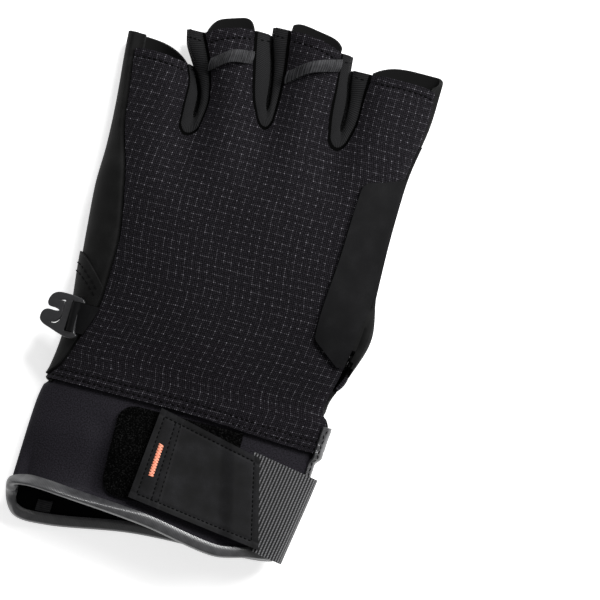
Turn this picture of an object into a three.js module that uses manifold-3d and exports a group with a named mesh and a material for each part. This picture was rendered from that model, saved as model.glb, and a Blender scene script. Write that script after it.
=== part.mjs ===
import * as THREE from "three";
import Module from "manifold-3d";

const wasm = await Module();
wasm.setup();

// Climbing glove for the left hand, half-finger, lying with the back of the hand up.
// Millimetres. Fingers point along +Y, the thumb side is +X, and y = 0 is the wrist seam.

// Driving sizes of the hand and cuff
const handLength = 140;
const palmWidth = 104;
const handHeight = 30;
const cuffLength = 45;

// Cloth and leather walls, and how a seam laps
const backWall = 1.2;
const palmWall = 1.4;
const gussetWall = 1;
const cuffWall = 1.5;
const thumbWall = 1.2;
const patchWall = 1.2;
const seamGap = 0.4;
const seamLap = 2.2;
const wristDip = 2.6;

// Slots between the fingers
const fingerValley = 7;
const valleyWidth = 7.5;
const slotGap = 1.1;
const webRise = 7;
const fingertipLip = 4.8;

// Thumb, folded flat under the palm
const thumbLength = 52;
const thumbWidth = 25;
const thumbHeight = 12;
const thumbRootLength = 26;
const thumbRootWidth = 21;
const thumbLip = 4;
const thumbLean = 0.297;

// Bindings, strap and trim
const bindingWidth = 3;
const bindingWall = 0.8;
const bindingGap = 0.35;
const slitLength = 8.5;
const slitHalfAngle = 0.15;
const slitBindingWidth = 3;
const strapWall = 1.2;
const strapLean = 0.175;
const tabLength = 43;
const tabWall = 1.2;
const loopPatchLength = 44;
const loopPatchWall = 1;
const pullLoopWall = 0.9;
const pullLoopRise = 2.4;
const pullLoopWidth = 4.6;
const pipingRadius = 0.75;
const hookLength = 9.4;
const hookWidth = 13.4;
const hookWall = 1.6;
const barWidth = 1.6;
const clipTabLength = 9.2;
const clipReach = 4;
const clipTabWidth = 10;
const clipTabWall = 0.9;
const labelLength = 5.3;
const labelDepth = 4;
const labelWall = 0.5;

// Sizes worked out from those above
const halfWidth = palmWidth / 2;
const cuffDrop = palmWall + seamGap;
const patchTop = seamGap + patchWall;
const restHeight = Math.max(patchTop, seamGap + strapWall);
const foldRadius = 0.8;
const thumbRoom = thumbHeight + foldRadius + palmWall;
const strapWidth = 0.711 * cuffLength;
const tabWidth = 0.733 * cuffLength;
const loopPatchWidth = 0.708 * cuffLength;

// Cross-sections from the hem to the fingertips. at is a share of the cuff's length below
// the wrist seam and of the hand's length above it, left and right are shares of half the
// palm's width, top, midLeft and midRight are shares of the hand's height.
const sections = [
  { at: -1.2, left: -1.115, right: 0.77, top: 0.86, midLeft: 0.42, midRight: 0.4 },
  { at: -0.95, left: -1.11, right: 0.796, top: 0.83, midLeft: 0.42, midRight: 0.41 },
  { at: -0.25, left: -1.082, right: 0.893, top: 0.79, midLeft: 0.4, midRight: 0.43 },
  { at: -0.05, left: -1.056, right: 0.903, top: 0.795, midLeft: 0.4, midRight: 0.46 },
  { at: 0, left: -1.022, right: 0.906, top: 0.8, midLeft: 0.4, midRight: 0.47 },
  { at: 0.021, left: -1.001, right: 0.909, top: 0.807, midLeft: 0.4, midRight: 0.49 },
  { at: 0.055, left: -0.984, right: 0.913, top: 0.82, midLeft: 0.41, midRight: 0.52 },
  { at: 0.085, left: -0.974, right: 0.866, top: 0.843, midLeft: 0.41, midRight: 0.55 },
  { at: 0.12, left: -0.967, right: 0.875, top: 0.88, midLeft: 0.42, midRight: 0.59 },
  { at: 0.19, left: -0.96, right: 0.958, top: 0.94, midLeft: 0.42, midRight: 0.62 },
  { at: 0.29, left: -0.985, right: 1.038, top: 0.99, midLeft: 0.42, midRight: 0.63 },
  { at: 0.4, left: -1.008, right: 0.996, top: 1, midLeft: 0.42, midRight: 0.62 },
  { at: 0.5, left: -1.025, right: 0.987, top: 0.98, midLeft: 0.41, midRight: 0.59 },
  { at: 0.6, left: -1.018, right: 0.988, top: 0.93, midLeft: 0.4, midRight: 0.53 },
  { at: 0.71, left: -1.03, right: 1.004, top: 0.85, midLeft: 0.36, midRight: 0.42 },
  { at: 0.84, left: -1.06, right: 1.063, top: 0.71, midLeft: 0.31, midRight: 0.33 },
  { at: 0.93, left: -1.075, right: 1.075, top: 0.63, midLeft: 0.29, midRight: 0.29 },
  { at: 1.05, left: -1.075, right: 1.08, top: 0.58, midLeft: 0.28, midRight: 0.28 },
];

// Side seams between the back panel and the palm leather, as shares of the section's half
const seams = [
  { at: 0, left: -0.995, right: 0.975 },
  { at: 0.014, left: -0.98, right: 0.975 },
  { at: 0.043, left: -0.935, right: 0.975 },
  { at: 0.12, left: -0.879, right: 0.975 },
  { at: 0.2, left: -0.819, right: 0.93 },
  { at: 0.25, left: -0.8, right: 0.91 },
  { at: 0.3, left: -0.785, right: 0.905 },
  { at: 0.39, left: -0.762, right: 0.975 },
  { at: 0.52, left: -0.8, right: 0.982 },
  { at: 0.65, left: -0.896, right: 0.982 },
  { at: 0.75, left: -0.92, right: 0.982 },
  { at: 0.85, left: -0.935, right: 0.982 },
  { at: 1, left: -0.94, right: 0.96 },
];

// Middle lines of the three gaps between the fingers, as shares of half the palm's width
const gapLines = [
  { at: 0.5, first: -0.5, second: -0.01, third: 0.48 },
  { at: 0.67, first: -0.5, second: -0.01, third: 0.485 },
  { at: 0.77, first: -0.495, second: -0.027, third: 0.488 },
  { at: 0.82, first: -0.542, second: -0.04, third: 0.488 },
  { at: 0.86, first: -0.61, second: -0.053, third: 0.482 },
  { at: 0.9, first: -0.67, second: -0.075, third: 0.462 },
  { at: 0.96, first: -0.7, second: -0.12, third: 0.445 },
  { at: 1.05, first: -0.71, second: -0.14, third: 0.43 },
];

// Slots seen from above: x is a share of half the palm's width, y of the hand's length.
// Each side runs from the foot of the slot to its mouth at the fingertips.
const slots = [
  {
    name: "first",
    root: [-0.521, 0.668],
    left: [[-0.58, 0.689], [-0.587, 0.745], [-0.59, 0.8], [-0.632, 0.847]],
    right: [[-0.44, 0.689], [-0.415, 0.767], [-0.469, 0.857], [-0.562, 0.932]],
  },
  {
    name: "second",
    root: [-0.013, 0.731],
    left: [[-0.085, 0.754], [-0.144, 0.8], [-0.202, 0.889], [-0.242, 0.969]],
    right: [[0.03, 0.754], [0.035, 0.814], [0.027, 0.893], [-0.004, 0.99]],
  },
  {
    name: "third",
    root: [0.485, 0.726],
    left: [[0.42, 0.746], [0.39, 0.809], [0.377, 0.885], [0.356, 0.968]],
    right: [[0.55, 0.75], [0.587, 0.804], [0.592, 0.871], [0.6, 0.933]],
  },
];
const littleTip = 0.851;
const indexTip = 0.929;

// How far each finger's palm leather stands out past its back, as shares of the lip
const lips = [
  { left: 1.2, middle: 1.2, right: 0.1 },
  { left: 0.1, middle: 1.15, right: 0 },
  { left: 0.6, middle: 0.95, right: 0.5 },
  { left: 0.3, middle: 1.2, right: -0.2 },
];

// How far the hem lies from the wrist seam, as shares of the cuff's length, by the turn
// round the cuff: -pi is the thumb side over the back, 0 the little-finger side
const hems = [
  { at: -3.15, reach: 0.92 },
  { at: -2.5, reach: 0.95 },
  { at: -2.15, reach: 0.995 },
  { at: -1.57, reach: 0.9 },
  { at: -1.05, reach: 0.852 },
  { at: -0.5, reach: 0.83 },
  { at: 0, reach: 0.9 },
  { at: 0.45, reach: 1.08 },
  { at: 0.9, reach: 1.09 },
  { at: 1.57, reach: 0.985 },
  { at: 2.3, reach: 0.965 },
  { at: 3.15, reach: 0.93 },
];

// Colours, roughness and metalness of the materials
const ripstop = { color: "#1f1e21", roughness: 0.85, metalness: 0 };
const leather = { color: "#242424", roughness: 0.6, metalness: 0 };
const stretchCloth = { color: "#2c2b2c", roughness: 0.9, metalness: 0 };
const softshell = { color: "#1d1c20", roughness: 0.8, metalness: 0 };
const bindingTape = { color: "#686868", roughness: 0.85, metalness: 0 };
const webbing = { color: "#424242", roughness: 0.85, metalness: 0 };
const fuzz = { color: "#0d0d0d", roughness: 1, metalness: 0 };
const plastic = { color: "#3a3a3c", roughness: 0.5, metalness: 0 };

const glove = new THREE.Group();

function mix(a, b, share) {
  return a + (b - a) * share;
}

function smooth(from, to, value) {
  const share = THREE.MathUtils.clamp((value - from) / (to - from), 0, 1);
  return share * share * (3 - 2 * share);
}

// A smooth curve through one column of a table, read at any place along it
function follow(rows, column, at) {
  const last = rows.length - 1;
  const place = THREE.MathUtils.clamp(at, rows[0].at, rows[last].at);
  let i = 0;
  while (i < last - 1 && place > rows[i + 1].at) {
    i += 1;
  }
  const slope = (k) => {
    const low = rows[Math.max(k - 1, 0)];
    const high = rows[Math.min(k + 1, last)];
    return (high[column] - low[column]) / (high.at - low.at);
  };
  const step = rows[i + 1].at - rows[i].at;
  const t = (place - rows[i].at) / step;
  const t2 = t * t;
  const t3 = t2 * t;
  const start = (2 * t3 - 3 * t2 + 1) * rows[i][column] + (t3 - 2 * t2 + t) * step * slope(i);
  const end = (3 * t2 - 2 * t3) * rows[i + 1][column] + (t3 - t2) * step * slope(i + 1);
  return start + end;
}

function station(y) {
  return y < 0 ? y / cuffLength : y / handLength;
}

// The glove's outer section at y, in real lengths
function sectionAt(y) {
  const at = station(y);
  const left = follow(sections, "left", at) * halfWidth;
  const right = follow(sections, "right", at) * halfWidth;
  return {
    centre: (left + right) / 2,
    half: (right - left) / 2,
    top: follow(sections, "top", at) * handHeight,
    midLeft: follow(sections, "midLeft", at) * handHeight,
    midRight: follow(sections, "midRight", at) * handHeight,
  };
}

// Soft furrows that run down from the slots between the fingers
function valleys(x, y) {
  let depth = 0;
  for (const slot of slots) {
    const root = slot.root[1] * handLength;
    const middle = follow(gapLines, slot.name, station(y)) * halfWidth;
    const grow = smooth(root - 0.2 * handLength, root + 0.1 * handLength, y);
    depth += grow * Math.exp(-(((x - middle) / valleyWidth) ** 2));
  }
  return depth;
}

// The folded thumb lies along a leaning line under the palm
const thumbRoot = new THREE.Vector2(0.73 * halfWidth, 0.222 * handLength);
const thumbAxis = new THREE.Vector2(-Math.sin(thumbLean), Math.cos(thumbLean));
const thumbSide = new THREE.Vector2(thumbAxis.y, -thumbAxis.x);

function thumbBump(x, y) {
  const from = new THREE.Vector2(x, y).sub(thumbRoot);
  const reach = THREE.MathUtils.clamp(from.dot(thumbAxis), 0, 0.865 * thumbLength);
  const away = from.sub(thumbAxis.clone().multiplyScalar(reach)).length();
  return 1 - smooth(0.56 * thumbWidth, 0.9 * thumbWidth, away);
}

function backHeight(x, y, share, s) {
  const mid = mix(s.midLeft, s.midRight, (share + 1) / 2);
  const arch = Math.pow(Math.max(1 - Math.abs(share) ** 2.5, 0), 0.4);
  return mid + (s.top - mid) * arch - fingerValley * valleys(x, y);
}

function palmHeight(x, y, share, s) {
  const mid = mix(s.midLeft, s.midRight, (share + 1) / 2);
  const arch = Math.min(1.1 * Math.pow(Math.max(1 - Math.abs(share) ** 4, 0), 0.25), 1);
  const floor = mix(restHeight, thumbRoom, thumbBump(x, y));
  return mid - (mid - floor) * arch + 0.45 * fingerValley * valleys(x, y);
}

// The outer surface as a loop at y. turn 0 is the little-finger edge; a positive turn runs
// under the palm to the thumb edge at pi, and a negative one runs over the back.
function loop(turn, y) {
  const round = turn < -Math.PI ? turn + 2 * Math.PI : turn;
  const s = sectionAt(y);
  const overBack = round < 0 || round > Math.PI;
  const beta = round > Math.PI ? 2 * Math.PI - round : Math.abs(round);
  const share = -Math.cos(beta);
  const x = s.centre + s.half * share;
  const z = overBack ? backHeight(x, y, share, s) : palmHeight(x, y, share, s);
  return new THREE.Vector3(x, y, z);
}

function turnAt(x, y) {
  const s = sectionAt(y);
  return Math.acos(THREE.MathUtils.clamp((s.centre - x) / s.half, -1, 1));
}

// A point at a level above (or, if negative, below) the outer surface
function onSkin(turn, y, level) {
  const step = 0.012;
  const across = loop(turn + step, y).sub(loop(turn - step, y));
  const along = loop(turn, y + 0.4).sub(loop(turn, y - 0.4));
  const normal = along.cross(across).normalize();
  return loop(turn, y).addScaledVector(normal, level);
}

// The turn that lies a distance round the loop from another turn
function slide(turn, y, distance) {
  const step = Math.sign(distance) * 0.01;
  const target = Math.abs(distance);
  let travelled = 0;
  let angle = turn;
  let here = loop(angle, y);
  while (travelled < target) {
    const next = loop(angle + step, y);
    const length = here.distanceTo(next);
    const share = Math.min((target - travelled) / length, 1);
    angle += step * share;
    travelled += length * share + 1e-9;
    here = next;
  }
  return angle;
}

function bodyFrom(points, triangles) {
  const geometry = new THREE.BufferGeometry();
  const places = points.flatMap((p) => [p.x, p.y, p.z]);
  geometry.setAttribute("position", new THREE.Float32BufferAttribute(places, 3));
  geometry.setIndex(triangles.flat());
  geometry.computeVertexNormals();
  return geometry;
}

// Joins an outer and an inner copy of a sheet of quads round the sheet's open edges
function closeSheet(outer, inner, quads) {
  const count = outer.length;
  const triangles = [];
  const edges = new Map();
  for (const [a, b, c, d] of quads) {
    triangles.push([a, b, c], [a, c, d]);
    triangles.push([count + a, count + c, count + b], [count + a, count + d, count + c]);
    for (const [from, to] of [[a, b], [b, c], [c, d], [d, a]]) {
      if (!edges.delete(`${to}-${from}`)) {
        edges.set(`${from}-${to}`, [from, to]);
      }
    }
  }
  for (const [a, b] of edges.values()) {
    triangles.push([b, a, count + a], [b, count + a, count + b]);
  }
  return bodyFrom([...outer, ...inner], triangles);
}

// A wall on the glove's skin: each corner has a turn, a y and a level of its outer face
function skinSheet(corners, quads, wall) {
  const outer = corners.map((c) => onSkin(c.turn, c.y, c.level));
  const inner = corners.map((c) => onSkin(c.turn, c.y, c.level - wall));
  return closeSheet(outer, inner, quads);
}

// A wall laid inward from a free surface, along the surface's own normals
function freeSheet(points, quads, wall) {
  const normals = points.map(() => new THREE.Vector3());
  for (const quad of quads) {
    const [a, b, c, d] = quad.map((k) => points[k]);
    const facing = c.clone().sub(a).cross(d.clone().sub(b));
    for (const k of quad) {
      normals[k].add(facing);
    }
  }
  const inner = points.map((p, k) => p.clone().addScaledVector(normals[k].normalize(), -wall));
  return closeSheet(points, inner, quads);
}

// Quads of a plain grid, numbered row by row
function gridQuads(rows, columns, flip) {
  const quads = [];
  for (let i = 0; i < rows - 1; i += 1) {
    for (let j = 0; j < columns - 1; j += 1) {
      const a = i * columns + j;
      const quad = [a, a + columns, a + columns + 1, a + 1];
      quads.push(flip ? quad.reverse() : quad);
    }
  }
  return quads;
}

// A wall on the skin made of rows and columns
function skinGrid(rows, columns, wall, corner, flip = false) {
  const corners = [];
  for (let i = 0; i < rows; i += 1) {
    for (let j = 0; j < columns; j += 1) {
      corners.push(corner(i / (rows - 1), j / (columns - 1)));
    }
  }
  return skinSheet(corners, gridQuads(rows, columns, flip), wall);
}

function volumeOf(points, triangles) {
  let sum = 0;
  for (const [a, b, c] of triangles) {
    sum += points[a].dot(new THREE.Vector3().crossVectors(points[b], points[c]));
  }
  return sum / 6;
}

// A closed profile carried along stations, with flat ends. The profile's (u, v) outline and
// the stations may run either way: the faces are turned to point outward.
function sweep(stations) {
  const sides = stations[0].length;
  const flat = stations[0].map((point) => new THREE.Vector2(point.u, point.v));
  const clockwise = THREE.ShapeUtils.isClockWise(flat);
  const triangles = [];
  for (let i = 0; i < stations.length - 1; i += 1) {
    for (let j = 0; j < sides; j += 1) {
      const a = i * sides + j;
      const b = i * sides + ((j + 1) % sides);
      triangles.push([a, b, b + sides], [a, b + sides, a + sides]);
    }
  }
  const last = (stations.length - 1) * sides;
  for (const [a, b, c] of THREE.ShapeUtils.triangulateShape(flat, [])) {
    const [p, q] = clockwise ? [b, c] : [c, b];
    triangles.push([a, p, q], [last + a, last + q, last + p]);
  }
  const points = stations.flat().map((point) => point.place);
  if (volumeOf(points, triangles) < 0) {
    triangles.forEach((triangle) => triangle.reverse());
  }
  return bodyFrom(points, triangles);
}

function addPart(name, geometry, finish) {
  const mesh = new THREE.Mesh(geometry, new THREE.MeshStandardMaterial(finish));
  mesh.name = name;
  glove.add(mesh);
  return mesh;
}

function leftSeam(y) {
  return Math.acos(-follow(seams, "left", station(y)));
}

function rightSeam(y) {
  return Math.acos(-follow(seams, "right", station(y)));
}

function slotSide(slot, side) {
  const points = slot[side].map(([x, y]) => new THREE.Vector3(x * halfWidth, y * handLength, 0));
  return new THREE.CatmullRomCurve3(points, false, "centripetal");
}

function slotRoot(slot) {
  return new THREE.Vector3(slot.root[0] * halfWidth, slot.root[1] * handLength, 0);
}

// The four fingers: each has a left and a right edge, a seam or the side of a slot, read
// as a turn over the back and a y for a share v of the way from its root to its tip
function slotEdge(slot, side) {
  const curve = slotSide(slot, side);
  return (v) => {
    const point = curve.getPoint(v);
    return { turn: turnAt(point.x, point.y), y: point.y };
  };
}

function seamEdge(seam, slot, side, tip) {
  const foot = slot[side][0][1] * handLength;
  return (v) => {
    const y = mix(foot, tip * handLength, v);
    return { turn: seam(y), y };
  };
}

const fingers = [
  { left: seamEdge(leftSeam, slots[0], "left", littleTip), right: slotEdge(slots[0], "left") },
  { left: slotEdge(slots[0], "right"), right: slotEdge(slots[1], "left") },
  { left: slotEdge(slots[1], "right"), right: slotEdge(slots[2], "left") },
  { left: slotEdge(slots[2], "right"), right: seamEdge(rightSeam, slots[2], "right", indexTip) },
];

// A sheet shaped like a hand: one field from the wrist up to the row of finger roots, and
// a field for each finger. columns(finger, v) gives a finger's corners in one row, and
// between(k) the single corner at the root of slot k.
function handSheet(columns, between, wristRow, handShares, fingerRows, lipRows, wall, flip) {
  const corners = [];
  const quads = [];
  const rootRow = [];
  const starts = [];
  fingers.forEach((finger, k) => {
    starts.push(rootRow.length);
    rootRow.push(...columns(k, 0));
    if (k < slots.length) {
      rootRow.push(between(k));
    }
  });
  const width = rootRow.length;
  const handRows = handShares.length;
  for (const share of handShares) {
    corners.push(...rootRow.map((corner, j) => wristRow(corner, j, share, rootRow)));
  }
  corners.push(...rootRow);
  quads.push(...gridQuads(handRows + 1, width, flip));
  fingers.forEach((finger, k) => {
    const count = columns(k, 0).length;
    let below = Array.from({ length: count }, (unused, j) => handRows * width + starts[k] + j);
    for (let i = 1; i <= fingerRows + lipRows; i += 1) {
      const here = columns(k, i / fingerRows).map((corner) => corners.push(corner) - 1);
      for (let j = 0; j < count - 1; j += 1) {
        const quad = [below[j], here[j], here[j + 1], below[j + 1]];
        quads.push(flip ? quad.reverse() : quad);
      }
      below = here;
    }
  });
  return skinSheet(corners, quads, wall);
}

// Back panel, ripstop cloth
const backColumns = [5, 4, 4, 6];

function backFinger(k, v) {
  const left = fingers[k].left(v);
  const right = fingers[k].right(v);
  return Array.from({ length: backColumns[k] + 1 }, (unused, j) => {
    const u = j / backColumns[k];
    const bow = 4 * u * (1 - u) * v * v * 0.007 * handLength;
    return { turn: -mix(left.turn, right.turn, u), y: mix(left.y, right.y, u) + bow, level: 0 };
  });
}

function backBetween(k) {
  const root = slotRoot(slots[k]);
  return { turn: -turnAt(root.x, root.y), y: root.y, level: 0 };
}

// The back's lower edge dips towards the thumb side
function wristLine(turn) {
  return -wristDip * smooth(-0.2 * halfWidth, 0.85 * halfWidth, loop(turn, 0).x);
}

function backRow(corner, j, v) {
  const low = leftSeam(corner.y);
  const share = (-corner.turn - low) / (rightSeam(corner.y) - low);
  const y = mix(wristLine(-mix(leftSeam(0), rightSeam(0), share)), corner.y, v);
  return { turn: -mix(leftSeam(y), rightSeam(y), share), y, level: 0 };
}

const backShares = Array.from({ length: 12 }, (unused, i) => i / 12);
const backBody = handSheet(backFinger, backBetween, backRow, backShares, 6, 0, backWall, true);
addPart("back_panel", backBody, ripstop);

// Palm leather, tucked under the back panel's side seams
const tuckLevel = -(backWall + seamGap);

function leftTuck(y) {
  const seam = -leftSeam(y);
  return [
    { turn: slide(seam, y, -seamLap), y, level: tuckLevel },
    { turn: slide(seam, y, 0.5), y, level: tuckLevel },
    { turn: slide(seam, y, 2.6), y, level: 0 },
  ];
}

// On the thumb side the leather leaves a channel for the piping. Below the slit's top it
// doesn't reach the seam and ends at the slit's lower edge.
function rightTuck(y) {
  const seam = 2 * Math.PI - rightSeam(y);
  const joined = smooth(slitLength, slitLength + 5, y);
  const slitEdge = Math.PI - slitHalfAngle;
  const reach = [-4.4, -2.6, -0.4, seamLap];
  const level = [0, tuckLevel, tuckLevel, tuckLevel];
  return reach.map((distance, k) => {
    const open = slide(slitEdge, y, (k - 3) * 1.6);
    return { turn: mix(open, slide(seam, y, distance), joined), y, level: level[k] * joined };
  });
}

const palmColumns = [8, 4, 4, 7];

function palmFinger(k, v) {
  const reach = Math.min(v, 1);
  const { left: lipLeft, middle: lipMiddle, right: lipRight } = lips[k];
  const left = fingers[k].left(reach);
  const right = fingers[k].right(reach);
  const startTuck = k === 0 ? leftTuck(left.y) : [];
  const endTuck = k === 3 ? rightTuck(right.y) : [];
  const from = k === 0 ? startTuck[2].turn : left.turn;
  const to = k === 3 ? endTuck[0].turn : right.turn;
  const inner = Array.from({ length: palmColumns[k] + 1 }, (unused, j) => {
    const u = j / palmColumns[k];
    return { turn: mix(from, to, u), y: mix(left.y, right.y, u), level: 0 };
  });
  const all = [...startTuck.slice(0, 2), ...inner, ...endTuck.slice(1)];
  return all.map((corner, j) => {
    const u = j / (all.length - 1);
    const ends = Math.abs(2 * u - 1) ** 5;
    const lip = mix(lipMiddle, mix(lipLeft, lipRight, u), ends) * (v > 1 ? fingertipLip : 0);
    return { ...corner, y: corner.y + lip };
  });
}

function palmBetween(k) {
  const root = slotRoot(slots[k]);
  return { turn: turnAt(root.x, root.y), y: root.y, level: 0 };
}

function palmRow(corner, j, v, row) {
  const y = v * corner.y;
  const lastFree = row.length - 4;
  if (j < 3) {
    return leftTuck(y)[j];
  }
  if (j >= lastFree) {
    return rightTuck(y)[j - lastFree];
  }
  const share = (corner.turn - row[2].turn) / (row[lastFree].turn - row[2].turn);
  return { turn: mix(leftTuck(y)[2].turn, rightTuck(y)[0].turn, share), y, level: 0 };
}

// Rows lie closer together beside the thumb
const palmShares = [0, 0.08, 0.15, 0.21, 0.27, 0.33, 0.39, 0.45, 0.51, 0.58, 0.66, 0.75, 0.84, 0.93];
const palmBody = handSheet(palmFinger, palmBetween, palmRow, palmShares, 6, 1, palmWall, false);

// The round-ended hole where the thumb leaves the palm
function thumbPlan(along, across) {
  const axis = thumbAxis.clone().multiplyScalar(along);
  return thumbRoot.clone().add(axis).addScaledVector(thumbSide, across);
}

function solidFrom(geometry) {
  const triVerts = new Uint32Array(geometry.index.array);
  const vertProperties = new Float32Array(geometry.attributes.position.array);
  return new wasm.Manifold(new wasm.Mesh({ numProp: 3, vertProperties, triVerts }));
}

function geometryFrom(solid) {
  const mesh = solid.getMesh();
  const geometry = new THREE.BufferGeometry();
  const places = new Float32Array(mesh.vertProperties);
  geometry.setAttribute("position", new THREE.BufferAttribute(places, 3));
  geometry.setIndex(Array.from(mesh.triVerts));
  geometry.computeVertexNormals();
  return geometry;
}

function ringShare(value) {
  return Math.sign(value) * Math.abs(value) ** 0.8;
}

const holeSides = 28;
const hole = Array.from({ length: holeSides }, (unused, k) => {
  const angle = (2 * Math.PI * k) / holeSides;
  const along = (thumbRootLength / 2 + seamGap) * ringShare(Math.cos(angle));
  const across = (thumbRootWidth / 2 + seamGap) * ringShare(Math.sin(angle));
  return thumbPlan(along - 1, across);
});

const cutter = sweep([thumbRoom * 1.6, thumbRoom * 0.4].map((z) =>
  hole.map((p) => ({ u: p.x, v: p.y, place: new THREE.Vector3(p.x, p.y, z) }))));
const palmSolid = solidFrom(palmBody).subtract(solidFrom(cutter));
addPart("palm_leather", geometryFrom(palmSolid), leather);

// Stretch-cloth gussets: a strip round each slot that bulges towards the gap's middle line
function heightOver(x, y) {
  return onSkin(-turnAt(x, y), y, tuckLevel);
}

function heightUnder(x, y) {
  return onSkin(turnAt(x, y), y, -(palmWall + 2 * seamGap));
}

const gussetSteps = 5;

function gussetRim(slot) {
  const left = slotSide(slot, "left").getPoints(gussetSteps).reverse();
  const right = slotSide(slot, "right").getPoints(gussetSteps);
  const root = slotRoot(slot);
  const foot = left[gussetSteps].clone().lerp(root, 0.5);
  const heel = right[0].clone().lerp(root, 0.5);
  foot.y -= 0.35 * (left[gussetSteps].y - root.y);
  heel.y -= 0.35 * (right[0].y - root.y);
  const rim = left.map((p) => ({ p, side: -1 }));
  rim.push({ p: foot, side: -0.6 }, { p: root, side: 0 }, { p: heel, side: 0.6 });
  rim.push(...right.map((p) => ({ p, side: 1 })));
  return rim;
}

const bulge = [0.42, 0.9, Math.PI / 2, Math.PI - 0.9, Math.PI - 0.42];

slots.forEach((slot, number) => {
  const root = slotRoot(slot);
  const points = [];
  for (const { p, side } of gussetRim(slot)) {
    const mouth = slot[side < 0 ? "left" : "right"][3][1] * handLength;
    const rise = root.y + webRise;
    const y = mix(rise, mouth, (p.y - root.y) / (mouth - root.y));
    const middle = follow(gapLines, slot.name, station(y)) * halfWidth;
    const inmost = new THREE.Vector3(middle + side * (slotGap / 2), y, 0);
    const away = inmost.clone().sub(p).normalize();
    const tucked = p.clone().addScaledVector(away, -seamLap);
    const edge = p.clone().addScaledVector(away, 0.4);
    const top = heightOver(edge.x, edge.y);
    const bottom = heightUnder(edge.x, edge.y);
    points.push(heightOver(tucked.x, tucked.y), top);
    for (const angle of bulge) {
      const plan = edge.clone().lerp(inmost, Math.sin(angle));
      const z = mix(top.z, bottom.z, (1 - Math.cos(angle)) / 2);
      points.push(new THREE.Vector3(plan.x, plan.y, z));
    }
    points.push(bottom, heightUnder(tucked.x, tucked.y));
  }
  const columns = bulge.length + 4;
  const quads = gridQuads(points.length / columns, columns, false);
  addPart(`finger_gusset_${number + 1}`, freeSheet(points, quads, gussetWall), stretchCloth);
});

// The thumb: a tube that leaves the hole, folds forward under the palm and opens forward.
// ring is the angle round the tube, 0 at the side that faces the palm.
const hingeReach = thumbRootLength / 2 - 0.2;

function thumbPoint(along, ring) {
  const c = (1 - ringShare(Math.cos(ring))) / 2;
  const s = ringShare(Math.sin(ring));
  const rootAlong = hingeReach - foldRadius - thumbRootLength * c;
  const rootPlan = thumbPlan(rootAlong, (thumbRootWidth / 2) * s);
  if (along < 0) {
    const rim = loop(turnAt(rootPlan.x, rootPlan.y), rootPlan.y);
    return rim.setZ(rim.z + (along < -1.5 ? 0.8 * palmWall : -0.3));
  }
  const hingeZ = thumbHeight + foldRadius;
  if (along <= 1) {
    const angle = (along * Math.PI) / 2;
    const widen = mix(thumbRootWidth, thumbWidth, Math.min(1, along * 1.6)) / 2;
    const deep = Math.min(thumbRootLength, (hingeZ - foldRadius) / Math.max(Math.sin(angle), 0.01));
    const radius = foldRadius + deep * c;
    const plan = thumbPlan(hingeReach - radius * Math.cos(angle), widen * s);
    return new THREE.Vector3(plan.x, plan.y, Math.max(hingeZ - radius * Math.sin(angle), 0));
  }
  const run = along - 1;
  const length = thumbLength - hingeReach;
  const taper = mix(1, 0.94, run);
  const height = (hingeZ - foldRadius) * mix(1, 0.93, run);
  const plan = thumbPlan(hingeReach + length * run, (thumbWidth / 2) * taper * s);
  return new THREE.Vector3(plan.x, plan.y, height * (1 - c));
}

const thumbRows = [-2, -1, 0.17, 0.33, 0.5, 0.67, 0.83, 1, 1.15, 1.3, 1.5, 1.7, 1.85, 2];
const thumbSeam = 1.75;
const thumbSeamStep = 0.17;

function thumbSheet(rings, levels, lip) {
  const points = [];
  for (const row of [...thumbRows, 2 + thumbLip / (thumbLength - hingeReach)]) {
    if (row > 2 && lip === 0) {
      continue;
    }
    rings.forEach((ring, j) => {
      const centre = thumbPoint(row, ring);
      const inward = thumbPoint(row, ring + Math.PI).sub(centre).normalize();
      points.push(centre.addScaledVector(inward, levels[j]));
    });
  }
  const quads = gridQuads(points.length / rings.length, rings.length, true);
  return freeSheet(points, quads, thumbWall);
}

const tuck = thumbWall + 1.5 * seamGap;
const palmRings = [-1, -0.93, -0.62, -0.3, 0, 0.3, 0.62, 0.93, 1];
const leatherRings = palmRings.map((share) => share * (thumbSeam + thumbSeamStep));
const leatherLevels = palmRings.map((share) => (Math.abs(share) > 0.8 ? tuck : 0));
addPart("thumb_palm", thumbSheet(leatherRings, leatherLevels, thumbLip), leather);
const backSweep = 2 * Math.PI - 2 * thumbSeam;
const backRings = Array.from({ length: 9 }, (unused, j) => thumbSeam + (backSweep * j) / 8);
addPart("thumb_back", thumbSheet(backRings, backRings.map(() => 0), 0), ripstop);

// Side patch, leather, bare, on the index-finger side of the back. Its left edge is a
// share of half the palm's width and its ends lean, as shares of the hand's length.
const sidePatch = [
  { at: 0, left: 0.845, leftY: 0.203, rightY: 0.207 },
  { at: 0.08, left: 0.735, leftY: 0.235, rightY: 0.24 },
  { at: 0.14, left: 0.66, leftY: 0.262, rightY: 0.285 },
  { at: 0.55, left: 0.69, leftY: 0.47, rightY: 0.5 },
  { at: 0.93, left: 0.715, leftY: 0.64, rightY: 0.668 },
  { at: 1, left: 0.74, leftY: 0.662, rightY: 0.7 },
];
addPart("side_patch", skinGrid(13, 5, patchWall, (v, u) => {
  const leftY = follow(sidePatch, "leftY", v) * handLength;
  const rightY = follow(sidePatch, "rightY", v) * handLength;
  const y = mix(leftY, rightY, u);
  const from = turnAt(follow(sidePatch, "left", v) * halfWidth, leftY);
  const to = slide(rightSeam(rightY), rightY, -0.6);
  return { turn: -mix(from, Math.max(to, from + 0.03), u), y, level: patchTop };
}, true), leather);

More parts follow.
